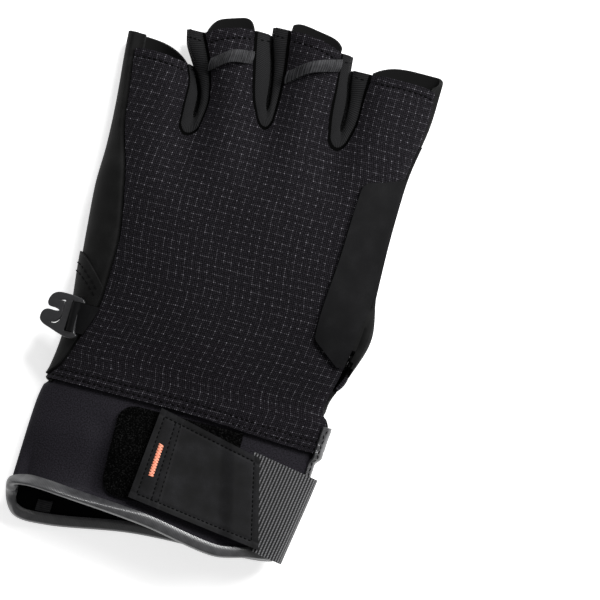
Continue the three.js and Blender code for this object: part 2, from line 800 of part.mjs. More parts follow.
// Piping in the thumb-side seam
const pipingStart = 0.37 * handLength;
const pipingEnd = 0.79 * handLength;
const pipingSides = 6;
addPart("edge_piping", sweep(Array.from({ length: 13 }, (unused, i) => {
  const y = mix(pipingStart, pipingEnd, i / 12);
  return Array.from({ length: pipingSides }, (blank, j) => {
    const angle = (2 * Math.PI * j) / pipingSides;
    const u = pipingRadius * Math.cos(angle);
    const v = pipingRadius * Math.sin(angle);
    const turn = slide(2 * Math.PI - rightSeam(y), y, -1.4 - u);
    return { u, v, place: onSkin(turn, y, v - 0.25) };
  });
})), leather);

// Leather overlay at the heel of the little-finger side, below a seam that slants down the side
const slantLow = 0.248 * handLength;
const slantHigh = 0.325 * handLength;
const slantStart = slide(-leftSeam(slantLow), slantLow, 1);
addPart("heel_overlay", skinGrid(7, 13, patchWall, (v, u) => {
  const farX = loop(0, slantLow).x;
  const startX = loop(slantStart, slantLow).x;
  const x = loop(Math.min(0, mix(slantStart, 1.3, u)), slantLow).x;
  const sideTop = mix(slantLow, slantHigh, (startX - x) / (startX - farX));
  const top = sideTop - 0.06 * handLength * smooth(0.5, 1, u);
  const y = mix(0.05 * handLength, top, v);
  const from = slide(-leftSeam(y), y, 1);
  return { turn: mix(from, 1.3, u), y, level: patchTop };
}), leather);

// Two overlays on the palm
addPart("palm_patch_centre", skinGrid(7, 6, patchWall, (v, u) => {
  const y = handLength * mix(0.34 + 0.03 * u, 0.62 - 0.05 * (2 * u - 1) ** 2, v);
  return { turn: turnAt(halfWidth * mix(-0.62, -0.05, u), y), y, level: patchTop };
}), leather);
addPart("palm_patch_index", skinGrid(6, 6, patchWall, (v, u) => {
  const y = handLength * mix(0.7, 0.82 - 0.04 * (1 - u) ** 2, v);
  return { turn: mix(turnAt(0.64 * halfWidth, y), 2.75, u), y, level: patchTop };
}), leather);

// Cuff, one strip of softshell from the slit's upper edge round to its lower edge
const cuffColumns = 32;
const slitTurn = Math.PI - slitHalfAngle;

function hemAt(turn) {
  return -follow(hems, "reach", turn) * cuffLength;
}

// Its upper edge is notched where the palm leather passes under the back panel.
function cuffTop(turn) {
  const fromSeam = Math.abs(turn + leftSeam(0) + 0.03);
  return mix(-seamGap - 0.2, seamLap, smooth(0.16, 0.22, fromSeam));
}

addPart("cuff", skinGrid(6, cuffColumns, cuffWall, (v, u) => {
  const turn = mix(-slitTurn, slitTurn, u);
  return { turn, y: mix(hemAt(turn), cuffTop(turn), v), level: -cuffDrop };
}), softshell);

// Binding tape folded over a cloth edge. Each station places a point by its level and its
// distance in from the edge.
function foldedTape(stations, width, outerLevel, innerLevel, place) {
  return sweep(stations.map((where) => {
    const top = outerLevel(where) + bindingGap;
    const low = innerLevel - bindingGap;
    const end = -bindingGap;
    const profile = [
      [top, width], [top, end], [low, end], [low, width], [low - bindingWall, width],
      [low - bindingWall, end - bindingWall / 2], [low - bindingWall / 2, end - bindingWall],
      [top + bindingWall / 2, end - bindingWall], [top + bindingWall, end - bindingWall / 2],
      [top + bindingWall, width],
    ];
    return profile.map(([u, v]) => ({ u, v, place: place(where, u, v) }));
  }));
}

const cuffTurns = Array.from({ length: cuffColumns }, (unused, j) =>
  mix(-slitTurn, slitTurn, j / (cuffColumns - 1)));
const cuffInner = -cuffDrop - cuffWall;
addPart("hem_binding", foldedTape(cuffTurns, bindingWidth, () => -cuffDrop, cuffInner,
  (turn, level, inset) => onSkin(turn, hemAt(turn) + inset, level)), bindingTape);

// Bindings up both edges of the slit. Beside the hand they also hold the hand's own wall.
function slitBinding(side) {
  const edge = side * slitTurn;
  const low = hemAt(edge) + bindingWidth + bindingGap;
  const ys = Array.from({ length: 11 }, (unused, i) => mix(low, slitLength - 1.3, i / 10));
  const ordered = side < 0 ? ys.reverse() : ys;
  const seamY = side < 0 ? wristLine(edge) : 0;
  const top = (y) => mix(-cuffDrop, 0.25, smooth(seamY - 4, seamY - 1, y));
  return foldedTape(ordered, slitBindingWidth, top, cuffInner,
    (y, level, inset) => onSkin(slide(edge, y, -side * inset), y, level));
}

addPart("slit_binding_back", slitBinding(-1), bindingTape);
addPart("slit_binding_palm", slitBinding(1), bindingTape);

// Fuzzy patch of the hook-and-loop fastening on the cuff's back
const loopPatchLeft = -0.48 * halfWidth;
const loopPatchTop = -0.05 * cuffLength;
const loopCorner = 6;
addPart("loop_patch", skinGrid(9, 7, loopPatchWall, (v, u) => {
  const y = loopPatchTop - loopPatchWidth * (1 - v);
  const fromEnd = Math.min(v, 1 - v) * loopPatchWidth;
  const round = Math.max(loopCorner - fromEnd, 0);
  const corner = loopCorner - Math.sqrt(loopCorner ** 2 - round ** 2);
  const x = mix(loopPatchLeft + corner, loopPatchLeft + loopPatchLength, u);
  return { turn: -turnAt(x, y), y, level: -cuffDrop + seamGap + loopPatchWall };
}, true), fuzz);

// The strap lies across the cuff, leaning down to the thumb side. d runs along it from its
// fold and w across it.
const foldY = -0.6 * cuffLength;
const strapOrigin = new THREE.Vector2(sectionAt(foldY).centre + sectionAt(foldY).half, foldY);
const strapAlong = new THREE.Vector2(Math.cos(strapLean), -Math.sin(strapLean));
const strapAcross = new THREE.Vector2(Math.sin(strapLean), Math.cos(strapLean));

function strapPlan(d, w) {
  const along = strapAlong.clone().multiplyScalar(d);
  return strapOrigin.clone().add(along).addScaledVector(strapAcross, w);
}

// The tab's end lies this far short of the fold and covers some of the webbing, where it
// steps up by the webbing's wall. Both its ends lean.
const tabShort = 14.5;
const tabSlant = 0.42;
const tabStartSlant = 0.065;
const webbingCovered = 6;
const stepStart = 15;
const stepEnd = 9;

function tabEnd(w) {
  return -tabShort - tabSlant * w;
}

addPart("strap_tab", skinGrid(7, 11, tabWall, (v, u) => {
  const half = (tabWidth / 2) * mix(1, 0.89, u);
  const w = mix(-half, half, v);
  const start = tabEnd(0) - tabLength - tabStartSlant * w;
  const d = mix(start, tabEnd(w), u);
  const p = strapPlan(d, w);
  const over = smooth(tabEnd(w) - stepStart, tabEnd(w) - stepEnd, d);
  return { turn: -turnAt(p.x, p.y), y: p.y, level: 0.2 + tabWall + over * (strapWall + 0.2) };
}, true), leather);

// Webbing from under the tab round the thumb side to the palm side of the cuff
function strapCorner(turn, w) {
  let y = foldY;
  for (let k = 0; k < 6; k += 1) {
    const x = loop(turn, y).x;
    y = strapOrigin.y + (w - (x - strapOrigin.x) * strapAcross.x) / strapAcross.y;
  }
  return { turn, y };
}

addPart("strap_webbing", skinGrid(5, 18, strapWall, (v, u) => {
  const w = mix(-strapWidth / 2, strapWidth / 2, v);
  const under = strapPlan(tabEnd(w) - webbingCovered, w);
  const start = -turnAt(under.x, under.y);
  const corner = strapCorner(mix(start, 1.92 - 2 * Math.PI, u), w);
  const round = smooth(2.3, 2.9, -corner.turn);
  const sewn = smooth(0.9, 1, u);
  const level = strapWall + round * seamGap - sewn * (seamGap + strapWall);
  return { ...corner, level };
}, true), webbing);

// Pull loops across the backs of the ring and middle fingers, sewn at both ends
function pullLoop(from, to) {
  return skinGrid(2, 12, pullLoopWall, (v, u) => {
    const y = handLength * mix(from[1], to[1], u) + pullLoopWidth * (v - 0.5);
    const x = halfWidth * mix(from[0], to[0], u);
    const rise = pullLoopRise * Math.sin(Math.PI * smooth(0.08, 0.92, u));
    return { turn: -turnAt(x, y), y, level: seamGap + pullLoopWall + rise };
  }, true);
}

addPart("pull_loop_ring", pullLoop([-0.468, 0.857], [-0.215, 0.898]), webbing);
addPart("pull_loop_middle", pullLoop([0.045, 0.872], [0.365, 0.936]), webbing);

// Clip: a leather tab sewn over the little-finger side, with an eye round the hook's bar
const eyeRadius = barWidth * 0.71 + 0.25;
const clipY = 0.165 * handLength;

function clipTabShape() {
  const outer = eyeRadius + clipTabWall;
  const shape = new THREE.Shape();
  shape.moveTo(-clipTabLength, -outer);
  shape.lineTo(0, -outer);
  shape.absarc(0, 0, outer, -Math.PI / 2, Math.PI * 0.83, false);
  shape.lineTo(-outer - 1.4, clipTabWall - outer);
  shape.lineTo(-clipTabLength, clipTabWall - outer);
  shape.closePath();
  const eye = new THREE.Path();
  eye.absarc(0, 0, eyeRadius, 0, 2 * Math.PI, true);
  shape.holes.push(eye);
  return shape;
}

// The hook is a flat plate: bar, slot for the tab's eye, and a J-shaped mouth
function hookShape() {
  const half = hookWidth / 2;
  const bar = barWidth / 2;
  const slotHalf = clipTabWidth / 2 + 0.4;
  const slotEnd = bar + eyeRadius + clipTabWall + 0.3;
  const mouth = 0.09 * hookWidth;
  const mouthStart = slotEnd + 1.5;
  const mouthEnd = mouthStart + 1.3;
  const mouthHalf = 0.26 * hookWidth;
  const end = hookLength - bar;
  const shape = new THREE.Shape();
  shape.moveTo(-bar, -half + 1);
  shape.lineTo(-bar + 1, -half);
  shape.lineTo(end - 2, -half);
  shape.lineTo(end, -half + 2);
  shape.lineTo(end, -mouth);
  shape.lineTo(mouthEnd, -mouth);
  shape.lineTo(mouthEnd, -mouthHalf);
  shape.lineTo(mouthStart, -mouthHalf);
  shape.lineTo(mouthStart, mouthHalf);
  shape.lineTo(mouthEnd, mouthHalf);
  shape.lineTo(mouthEnd, mouth);
  shape.lineTo(end - 0.6, mouth);
  shape.lineTo(end - 0.6, half - 2);
  shape.lineTo(end - 2.6, half);
  shape.lineTo(-bar + 1, half);
  shape.lineTo(-bar, half - 1);
  shape.closePath();
  const slot = new THREE.Path();
  slot.moveTo(bar, -slotHalf);
  slot.lineTo(bar, slotHalf);
  slot.lineTo(slotEnd, slotHalf);
  slot.lineTo(slotEnd, -slotHalf);
  slot.closePath();
  shape.holes.push(slot);
  return shape;
}

// The tab's plane is tangent to the skin, and its long side runs outward, down the shoulder
const tabTurn = slide(-leftSeam(clipY), clipY, 5.4);
const seat = onSkin(tabTurn, clipY, patchTop + seamGap + eyeRadius + clipTabWall);
const above = onSkin(tabTurn, clipY, 40).sub(onSkin(tabTurn, clipY, 0)).setY(0).normalize();
const outward = new THREE.Vector3(-above.z, 0, above.x);
const barPlace = seat.clone().addScaledVector(outward, clipReach);
const forward = new THREE.Vector3().crossVectors(outward, above);
const tabFrame = new THREE.Matrix4().makeBasis(outward, above, forward);
tabFrame.setPosition(barPlace.clone().addScaledVector(forward, -clipTabWidth / 2));
const tabBody = new THREE.ExtrudeGeometry(clipTabShape(), {
  depth: clipTabWidth, bevelEnabled: false, curveSegments: 6,
});
addPart("clip_tab", tabBody.applyMatrix4(tabFrame), leather);

const hookTilt = 0.4;
const hookOut = new THREE.Vector3(-Math.cos(hookTilt), 0, -Math.sin(hookTilt));
const hookUp = new THREE.Vector3(-Math.sin(hookTilt), 0, Math.cos(hookTilt));
const hookAlong = new THREE.Vector3().crossVectors(hookUp, hookOut);
const hookFrame = new THREE.Matrix4().makeBasis(hookOut, hookAlong, hookUp);
hookFrame.setPosition(barPlace.clone().addScaledVector(hookUp, -hookWall / 2));
const hookBody = new THREE.ExtrudeGeometry(hookShape(), { depth: hookWall, bevelEnabled: false });
addPart("clip_hook", hookBody.applyMatrix4(hookFrame), plastic);

// Small ribbed label tape inside the palm side of the cuff
addPart("inner_label", skinGrid(3, 4, labelWall, (v, u) => {
  const turn = 0.72 + u * (labelLength / (0.66 * halfWidth));
  const y = hemAt(turn) + bindingWidth + 0.4 + labelDepth * v;
  return { turn, y, level: cuffInner - seamGap };
}), webbing);

// The origin is under the middle of the glove, on the surface that it lies on
glove.updateMatrixWorld(true);
const box = new THREE.Box3().setFromObject(glove, true);
const centre = box.getCenter(new THREE.Vector3());
glove.position.set(-centre.x, -centre.y, -box.min.z);

export default glove;
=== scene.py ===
import bmesh
import bpy
import numpy as np
from mathutils import Matrix, Vector


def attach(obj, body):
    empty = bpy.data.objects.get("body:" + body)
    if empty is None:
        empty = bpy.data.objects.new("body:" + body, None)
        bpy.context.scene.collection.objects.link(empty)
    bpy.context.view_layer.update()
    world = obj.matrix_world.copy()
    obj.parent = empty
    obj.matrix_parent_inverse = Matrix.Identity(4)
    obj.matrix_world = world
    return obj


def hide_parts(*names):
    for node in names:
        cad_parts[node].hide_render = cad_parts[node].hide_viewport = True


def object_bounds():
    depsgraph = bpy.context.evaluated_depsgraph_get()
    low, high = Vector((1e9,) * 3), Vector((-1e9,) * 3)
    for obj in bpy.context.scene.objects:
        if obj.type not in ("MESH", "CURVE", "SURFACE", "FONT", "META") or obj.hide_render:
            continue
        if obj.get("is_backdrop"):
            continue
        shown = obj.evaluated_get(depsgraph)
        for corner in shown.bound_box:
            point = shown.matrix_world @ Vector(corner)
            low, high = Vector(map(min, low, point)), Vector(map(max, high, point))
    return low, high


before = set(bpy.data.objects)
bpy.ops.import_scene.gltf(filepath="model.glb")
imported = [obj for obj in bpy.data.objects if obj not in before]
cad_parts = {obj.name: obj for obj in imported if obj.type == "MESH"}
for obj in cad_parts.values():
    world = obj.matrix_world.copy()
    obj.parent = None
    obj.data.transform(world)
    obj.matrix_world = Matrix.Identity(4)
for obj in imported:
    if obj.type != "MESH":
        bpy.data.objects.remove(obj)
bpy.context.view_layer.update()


# The table top and the light: a white back-lit panel in a light tent, with one large soft
# lamp beyond the index-finger side and a small one near it for the highlights on the tape.
# The camera stands high over the glove with a long lens, turned so that the glove leans.
mm = 0.001
rng = np.random.default_rng(7)


def linear(code):
    """An sRGB hex colour as linear red, green, blue and alpha."""
    parts = np.array([int(code[k:k + 2], 16) for k in (1, 3, 5)]) / 255
    light = np.where(parts <= 0.04045, parts / 12.92, ((parts + 0.055) / 1.055) ** 2.4)
    return (*light, 1.0)


def add(tree, kind, links=None, **settings):
    """Adds one node: the keywords are its settings, and links gives each named or numbered
    input a plain value or another node's output."""
    made = tree.nodes.new(kind)
    for name, value in settings.items():
        setattr(made, name, value)
    for name, value in (links or {}).items():
        if isinstance(value, bpy.types.NodeSocket):
            tree.links.new(value, made.inputs[name])
        else:
            made.inputs[name].default_value = value
    return made


def blank(name, **sockets):
    """A new material with one Principled shader, whose named sockets get plain values."""
    made = bpy.data.materials.new(name)
    made.use_nodes = True
    tree = made.node_tree
    shader = tree.nodes["Principled BSDF"]
    for key, value in sockets.items():
        shader.inputs[key.replace("_", " ")].default_value = value
    return made, tree, shader


scene = bpy.context.scene
scene.view_settings.view_transform = "Standard"
scene.world = bpy.data.worlds.new("tent")
scene.world.use_nodes = True
tent = scene.world.node_tree.nodes["Background"]
tent.inputs["Color"].default_value = (1, 1, 1, 1)
tent.inputs["Strength"].default_value = 0.29

table_half = 2.0
table = bpy.data.meshes.new("table_top")
table.from_pydata([(-table_half, -table_half, 0), (table_half, -table_half, 0),
                   (table_half, table_half, 0), (-table_half, table_half, 0)], [], [(0, 1, 2, 3)])
table_object = bpy.data.objects.new("table_top", table)
scene.collection.objects.link(table_object)
table_paint, _, _ = blank("back_lit_opal_acrylic", Base_Color=linear("#fbfbfb"), Roughness=0.9,
                          Emission_Color=linear("#ffffff"), Emission_Strength=0.62)
table.materials.append(table_paint)
table_object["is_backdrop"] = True


def lamp(name, place, aim, size, power):
    """A square area lamp at a place, facing a point, in metres and watts."""
    light = bpy.data.lights.new(name, "AREA")
    light.size = size
    light.energy = power
    holder = bpy.data.objects.new(name, light)
    holder.location = place
    holder.rotation_euler = (Vector(aim) - Vector(place)).to_track_quat("-Z", "Y").to_euler()
    scene.collection.objects.link(holder)


glove_middle = (0, 0, 0.02)
lamp("soft_box", (0.6, 0.55, 0.7), glove_middle, 0.5, 12.5)
lamp("strip", (0.1, 0.75, 0.9), glove_middle, 0.18, 5.5)

picture_width = 0.210
camera_height = 2.0
elevation = np.radians(88)
roll = np.radians(14.5)
aim = np.array([0.0287, 0.0024, 0.012])
right = np.array([1.0, 0.0, 0.0])
up = np.array([0.0, np.sin(elevation), np.cos(elevation)])
back = np.array([0.0, -np.cos(elevation), np.sin(elevation)])
turned_right = np.cos(roll) * right + np.sin(roll) * up
turned_up = np.cos(roll) * up - np.sin(roll) * right
lens = bpy.data.cameras.new("camera")
lens.sensor_width = 36
lens.lens = 36 * camera_height / picture_width
camera = bpy.data.objects.new("camera", lens)
camera.matrix_world = Matrix((
    (turned_right[0], turned_up[0], back[0], aim[0] + back[0] * camera_height),
    (turned_right[1], turned_up[1], back[1], aim[1] + back[1] * camera_height),
    (turned_right[2], turned_up[2], back[2], aim[2] + back[2] * camera_height),
    (0, 0, 0, 1)))
scene.collection.objects.link(camera)
scene.camera = camera


# Palm leather: black microfibre synthetic leather, one cut piece for the palm and the four
# finger undersides. It wraps up the little-finger side, is tucked under the cloth back at
# both side seams, and has a hole for the thumb.
hand_length = 140
palm_half = 52
hand_height = 30
cuff_length = 45
back_wall = 1.2
palm_wall = 1.4
seam_gap = 0.4
seam_lap = 2.2
tuck_level = -(back_wall + seam_gap)
patch_wall = 1.2
patch_top = seam_gap + patch_wall
finger_valley = 7
valley_width = 7.5
fingertip_lip = 4.8
rest_height = 1.6
glove_shift = np.array([2.435, -45.800, 0.0])
wrist_dip = 2.6
slit_half_angle, slit_length, slit_blend = 0.15, 8.5, 13.5

# Sections from the hem to the fingertips: at, left, right, top, mid left, mid right
sections = np.array([
    [-1.2, -1.115, 0.77, 0.86, 0.42, 0.4], [-0.95, -1.11, 0.796, 0.83, 0.42, 0.41],
    [-0.25, -1.082, 0.893, 0.79, 0.4, 0.43], [-0.05, -1.056, 0.903, 0.795, 0.4, 0.46],
    [0, -1.022, 0.906, 0.8, 0.4, 0.47], [0.021, -1.001, 0.909, 0.807, 0.4, 0.49],
    [0.055, -0.984, 0.913, 0.82, 0.41, 0.52], [0.085, -0.974, 0.866, 0.843, 0.41, 0.55],
    [0.12, -0.967, 0.875, 0.88, 0.42, 0.59], [0.19, -0.96, 0.958, 0.94, 0.42, 0.62],
    [0.29, -0.985, 1.038, 0.99, 0.42, 0.63], [0.4, -1.008, 0.996, 1, 0.42, 0.62],
    [0.5, -1.025, 0.987, 0.98, 0.41, 0.59], [0.6, -1.018, 0.988, 0.93, 0.4, 0.53],
    [0.71, -1.03, 1.004, 0.85, 0.36, 0.42], [0.84, -1.06, 1.063, 0.71, 0.31, 0.33],
    [0.93, -1.075, 1.075, 0.63, 0.29, 0.29], [1.05, -1.075, 1.08, 0.58, 0.28, 0.28]])
# Side seams between the cloth and the leather: at, left, right
seams = np.array([
    [0, -0.995, 0.975], [0.014, -0.98, 0.975], [0.043, -0.935, 0.975], [0.12, -0.879, 0.975],
    [0.2, -0.819, 0.93], [0.25, -0.8, 0.91], [0.3, -0.785, 0.905], [0.39, -0.762, 0.975],
    [0.52, -0.8, 0.982], [0.65, -0.896, 0.982], [0.75, -0.92, 0.982], [0.85, -0.935, 0.982],
    [1, -0.94, 0.96]])
# Middle lines of the three gaps between the fingers: at, first, second, third
gap_lines = np.array([
    [0.5, -0.5, -0.01, 0.48], [0.67, -0.5, -0.01, 0.485], [0.77, -0.495, -0.027, 0.488],
    [0.82, -0.542, -0.04, 0.488], [0.86, -0.61, -0.053, 0.482], [0.9, -0.67, -0.075, 0.462],
    [0.96, -0.7, -0.12, 0.445], [1.05, -0.71, -0.14, 0.43]])
# Slots from foot to mouth, each row y then x: the root, the left side and the right side
slots = [
    {"root": (0.668, -0.521),
     "left": np.array([[0.689, -0.58], [0.745, -0.587], [0.8, -0.59], [0.847, -0.632]]),
     "right": np.array([[0.689, -0.44], [0.767, -0.415], [0.857, -0.469], [0.932, -0.562]])},
    {"root": (0.731, -0.013),
     "left": np.array([[0.754, -0.085], [0.8, -0.144], [0.889, -0.202], [0.969, -0.242]]),
     "right": np.array([[0.754, 0.03], [0.814, 0.035], [0.893, 0.027], [0.99, -0.004]])},
    {"root": (0.726, 0.485),
     "left": np.array([[0.746, 0.42], [0.809, 0.39], [0.885, 0.377], [0.968, 0.356]]),
     "right": np.array([[0.75, 0.55], [0.804, 0.587], [0.871, 0.592], [0.933, 0.6]])}]
little_tip = 0.851
index_tip = 0.929
thumb_length, thumb_width, thumb_height = 52, 25, 12
thumb_root_length, thumb_root_width, thumb_lean = 26, 21, 0.297
fold_radius = 0.8
thumb_room = thumb_height + fold_radius + palm_wall
thumb_root = np.array([0.73 * palm_half, 0.222 * hand_length])
thumb_axis = np.array([-np.sin(thumb_lean), np.cos(thumb_lean)])
thumb_side = np.array([thumb_axis[1], -thumb_axis[0]])


def mix(a, b, share):
    """a at share 0 and b at share 1, in a straight line."""
    return a + (b - a) * share


def smooth(start, end, value):
    """0 up to start and 1 from end, with an S-shaped rise between."""
    share = np.clip((value - start) / (end - start), 0, 1)
    return share * share * (3 - 2 * share)


def follow(rows, column, at):
    """A smooth cubic through one column of a table, whose slope at each row is taken from the
    rows on either side of it."""
    x, v = rows[:, 0], rows[:, column]
    low, high = np.maximum(np.arange(len(x)) - 1, 0), np.minimum(np.arange(len(x)) + 1, len(x) - 1)
    slope = (v[high] - v[low]) / (x[high] - x[low])
    place = np.clip(at, x[0], x[-1])
    i = np.clip(np.searchsorted(x, place) - 1, 0, len(x) - 2)
    step = x[i + 1] - x[i]
    t = (place - x[i]) / step
    start = (2 * t**3 - 3 * t**2 + 1) * v[i] + (t**3 - 2 * t**2 + t) * step * slope[i]
    return start + (3 * t**2 - 2 * t**3) * v[i + 1] + (t**3 - t**2) * step * slope[i + 1]


def station(y):
    """y as a share of the cuff's length below the wrist seam and of the hand's above it."""
    return np.where(y < 0, y / cuff_length, y / hand_length)


def wrist_line(x):
    """The back's lower edge in y: it dips towards the thumb side."""
    return -wrist_dip * smooth(-0.2 * palm_half, 0.85 * palm_half, x)


def valleys(x, y):
    """Three soft furrows, bell-shaped across, that grow towards the roots of the slots."""
    depth = 0
    for k, slot in enumerate(slots):
        root = slot["root"][0] * hand_length
        middle = follow(gap_lines, k + 1, station(y)) * palm_half
        grow = smooth(root - 0.2 * hand_length, root + 0.1 * hand_length, y)
        depth = depth + grow * np.exp(-(((x - middle) / valley_width) ** 2))
    return depth


def thumb_bump(x, y):
    """1 over the folded thumb's middle line and 0 well away from it."""
    dx, dy = x - thumb_root[0], y - thumb_root[1]
    reach = np.clip(dx * thumb_axis[0] + dy * thumb_axis[1], 0, 0.865 * thumb_length)
    away = np.hypot(dx - reach * thumb_axis[0], dy - reach * thumb_axis[1])
    return 1 - smooth(0.56 * thumb_width, 0.9 * thumb_width, away)


def loop(turn, y):
    """The glove's outer surface as a closed loop at each y. Half the width times minus the
    cosine of the turn is x; the back rises to its top and the palm falls to its floor along
    rounded arches. A turn of 0 is the little-finger edge, a turn over 0 is under
    the palm and one below 0 is on the back."""
    turn, y = np.broadcast_arrays(np.asarray(turn, float), np.asarray(y, float))
    turn = np.where(turn < -np.pi, turn + 2 * np.pi, turn)
    over_back = (turn < 0) | (turn > np.pi)
    beta = np.where(turn > np.pi, 2 * np.pi - turn, np.abs(turn))
    share = -np.cos(beta)
    at = station(y)
    left = follow(sections, 1, at) * palm_half
    right_edge = follow(sections, 2, at) * palm_half
    x = (left + right_edge) / 2 + (right_edge - left) / 2 * share
    middle = mix(follow(sections, 4, at), follow(sections, 5, at), (share + 1) / 2) * hand_height
    top = follow(sections, 3, at) * hand_height
    size = np.abs(share)
    over = np.maximum(1 - size**2.5, 0) ** 0.4
    under = np.minimum(1.1 * np.maximum(1 - size**4, 0) ** 0.25, 1)
    furrow = finger_valley * valleys(x, y)
    floor = mix(rest_height, thumb_room, thumb_bump(x, y))
    upper = middle + (top - middle) * over - furrow
    lower = middle - (middle - floor) * under + 0.45 * furrow
    return np.stack([x, y, np.where(over_back, upper, lower)], -1)


def folds(turn, y):
    """Soft folds of the cloth and leather, in mm: slow waves over the back, puckers between the
    two rows of stitches at the wrist seam, and a dip and a bulge in the cuff above its hem."""
    x = loop(turn, y)[..., 0]
    on_back = np.clip(-2.5 * np.sin(np.where(turn < -np.pi, turn + 2 * np.pi, turn)), 0, 1)
    slow = 0.45 * np.sin(x / 15 + 0.8) * np.sin(y / 21 + 0.4) + 0.25 * np.sin((x + 0.7 * y) / 8.3)
    above = y - wrist_line(x)
    sewn = np.exp(-((above - 1.5) / 0.55) ** 2) + np.exp(-((above - 3.9) / 0.55) ** 2)
    pucker = 0.2 * np.sin(2 * np.pi * x / 4.3 + 0.8 * np.sin(x / 9)) * np.exp(-((above - 2.6) / 2.4) ** 2)
    low = smooth(-14, -33, y) * (1 - smooth(-34.5, -39, y))
    dip = -3.2 * low * (1 - smooth(-20, 0, x)) * (1 + 0.3 * np.sin(x / 5.5))
    dip = dip - 1.1 * np.exp(-(((x + 29) / 3.5) ** 2)) * smooth(-6, -16, y) * (1 - smooth(-33, -38, y))
    return on_back * (slow * smooth(-44, -30, y) + pucker - 0.4 * sewn * (y > -8) + dip)


def skin(turn, y, level=0.0):
    """Points at a level above the outer surface, along its normal, with the folds added."""
    turn, y, level = np.broadcast_arrays(np.asarray(turn, float), np.asarray(y, float), level)
    across = loop(turn + 0.012, y) - loop(turn - 0.012, y)
    along = loop(turn, y + 0.4) - loop(turn, y - 0.4)
    normal = np.cross(along, across)
    normal /= np.linalg.norm(normal, axis=-1, keepdims=True)
    return loop(turn, y) + normal * (level + folds(turn, y))[..., None]


def turn_at(x, y):
    """The turn, counted as positive, at which the loop has this x."""
    at = station(y)
    left, right_edge = follow(sections, 1, at) * palm_half, follow(sections, 2, at) * palm_half
    return np.arccos(np.clip(((left + right_edge) / 2 - x) / ((right_edge - left) / 2), -1, 1))


girth_turns = np.linspace(-2 * np.pi, 2 * np.pi, 481)
girth_rows = np.linspace(-58, 152, 106)
girth_lines = loop(girth_turns, girth_rows[:, None])
girth_steps = np.diff(girth_lines, axis=1, prepend=girth_lines[:, :1])
girth_table = np.cumsum(np.linalg.norm(girth_steps, axis=-1), axis=1)
girth_table -= girth_table[:, [180]]


def girth(turn, y):
    """Distance in mm round the loop from the middle of the back, read between the four nearest
    values of a table."""
    turn, y = np.broadcast_arrays(np.asarray(turn, float), np.asarray(y, float))
    across = np.clip((turn - girth_turns[0]) / (girth_turns[1] - girth_turns[0]), 0, len(girth_turns) - 1.001)
    along = np.clip((y - girth_rows[0]) / (girth_rows[1] - girth_rows[0]), 0, len(girth_rows) - 1.001)
    i, j = along.astype(int), across.astype(int)
    low = mix(girth_table[i, j], girth_table[i, j + 1], across - j)
    return mix(low, mix(girth_table[i + 1, j], girth_table[i + 1, j + 1], across - j), along - i)


def slide(turn, y, distance):
    """The turn a distance further round the loop, in 12 short steps, each corrected by how
    fast the loop runs at its own middle."""
    turn, y, distance = np.broadcast_arrays(np.asarray(turn, float), np.asarray(y, float), distance)
    angle = turn.astype(float)
    for _ in range(12):
        ahead = angle + np.sign(distance) * 0.01
        speed = np.linalg.norm(loop(ahead + 0.008, y) - loop(ahead - 0.008, y), axis=-1) / 0.016
        angle = angle + distance / 12 / speed
    return angle


def grid(rows, columns, first=0):
    """Quads of a plain grid whose points are numbered row by row."""
    a = first + (np.arange(rows - 1)[:, None] * columns + np.arange(columns - 1)).ravel()
    return np.stack([a, a + columns, a + columns + 1, a + 1], -1)


def surface_normals(points, quads):
    """Unit normals at the points: the sum of the facing of the quads that meet there."""
    p = points[quads]
    facing = np.cross(p[:, 2] - p[:, 0], p[:, 3] - p[:, 1])
    total = np.zeros_like(points)
    for corner in range(4):
        np.add.at(total, quads[:, corner], facing)
    return total / np.maximum(np.linalg.norm(total, axis=1, keepdims=True), 1e-9)


def show(name, points, faces, lay, finish, nodes=(), crease=50):
    """Puts points in mm, and faces given as arrays of equal-sided polygons, into a mesh piece
    that rides on the glove. The faces are turned to point outwards, by the volume's sign. lay
    gives each point its place on the flat cloth in mm, which the finishes read."""
    corners = np.concatenate([f.ravel() for f in faces])
    sizes = np.concatenate([np.full(len(f), f.shape[1]) for f in faces])
    fan = np.concatenate([f[:, [0, k, k + 1]] for f in faces for k in range(1, f.shape[1] - 1)])
    p = points[fan]
    if np.einsum("ij,ij->i", p[:, 0], np.cross(p[:, 1], p[:, 2])).sum() < 0:
        corners = np.concatenate([f[:, ::-1].ravel() for f in faces])
    mesh = bpy.data.meshes.new(name)
    mesh.vertices.add(len(points))
    mesh.vertices.foreach_set("co", ((points + glove_shift) * mm).astype(np.float32).ravel())
    mesh.loops.add(len(corners))
    mesh.loops.foreach_set("vertex_index", corners.astype(np.int32))
    mesh.polygons.add(len(sizes))
    mesh.polygons.foreach_set("loop_start", np.concatenate([[0], np.cumsum(sizes)[:-1]]).astype(np.int32))
    mesh.update(calc_edges=True)
    mesh.validate()
    mesh.shade_smooth()
    mesh.set_sharp_from_angle(angle=np.radians(crease))
    place = mesh.attributes.new("lay", "FLOAT_VECTOR", "POINT")
    place.data.foreach_set("vector", lay.astype(np.float32).ravel())
    mesh.materials.append(finish)
    piece = bpy.data.objects.new(name, mesh)
    scene.collection.objects.link(piece)
    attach(piece, "root")
    if nodes:
        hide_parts(*nodes)
    return piece


rim_bulge = 0.22


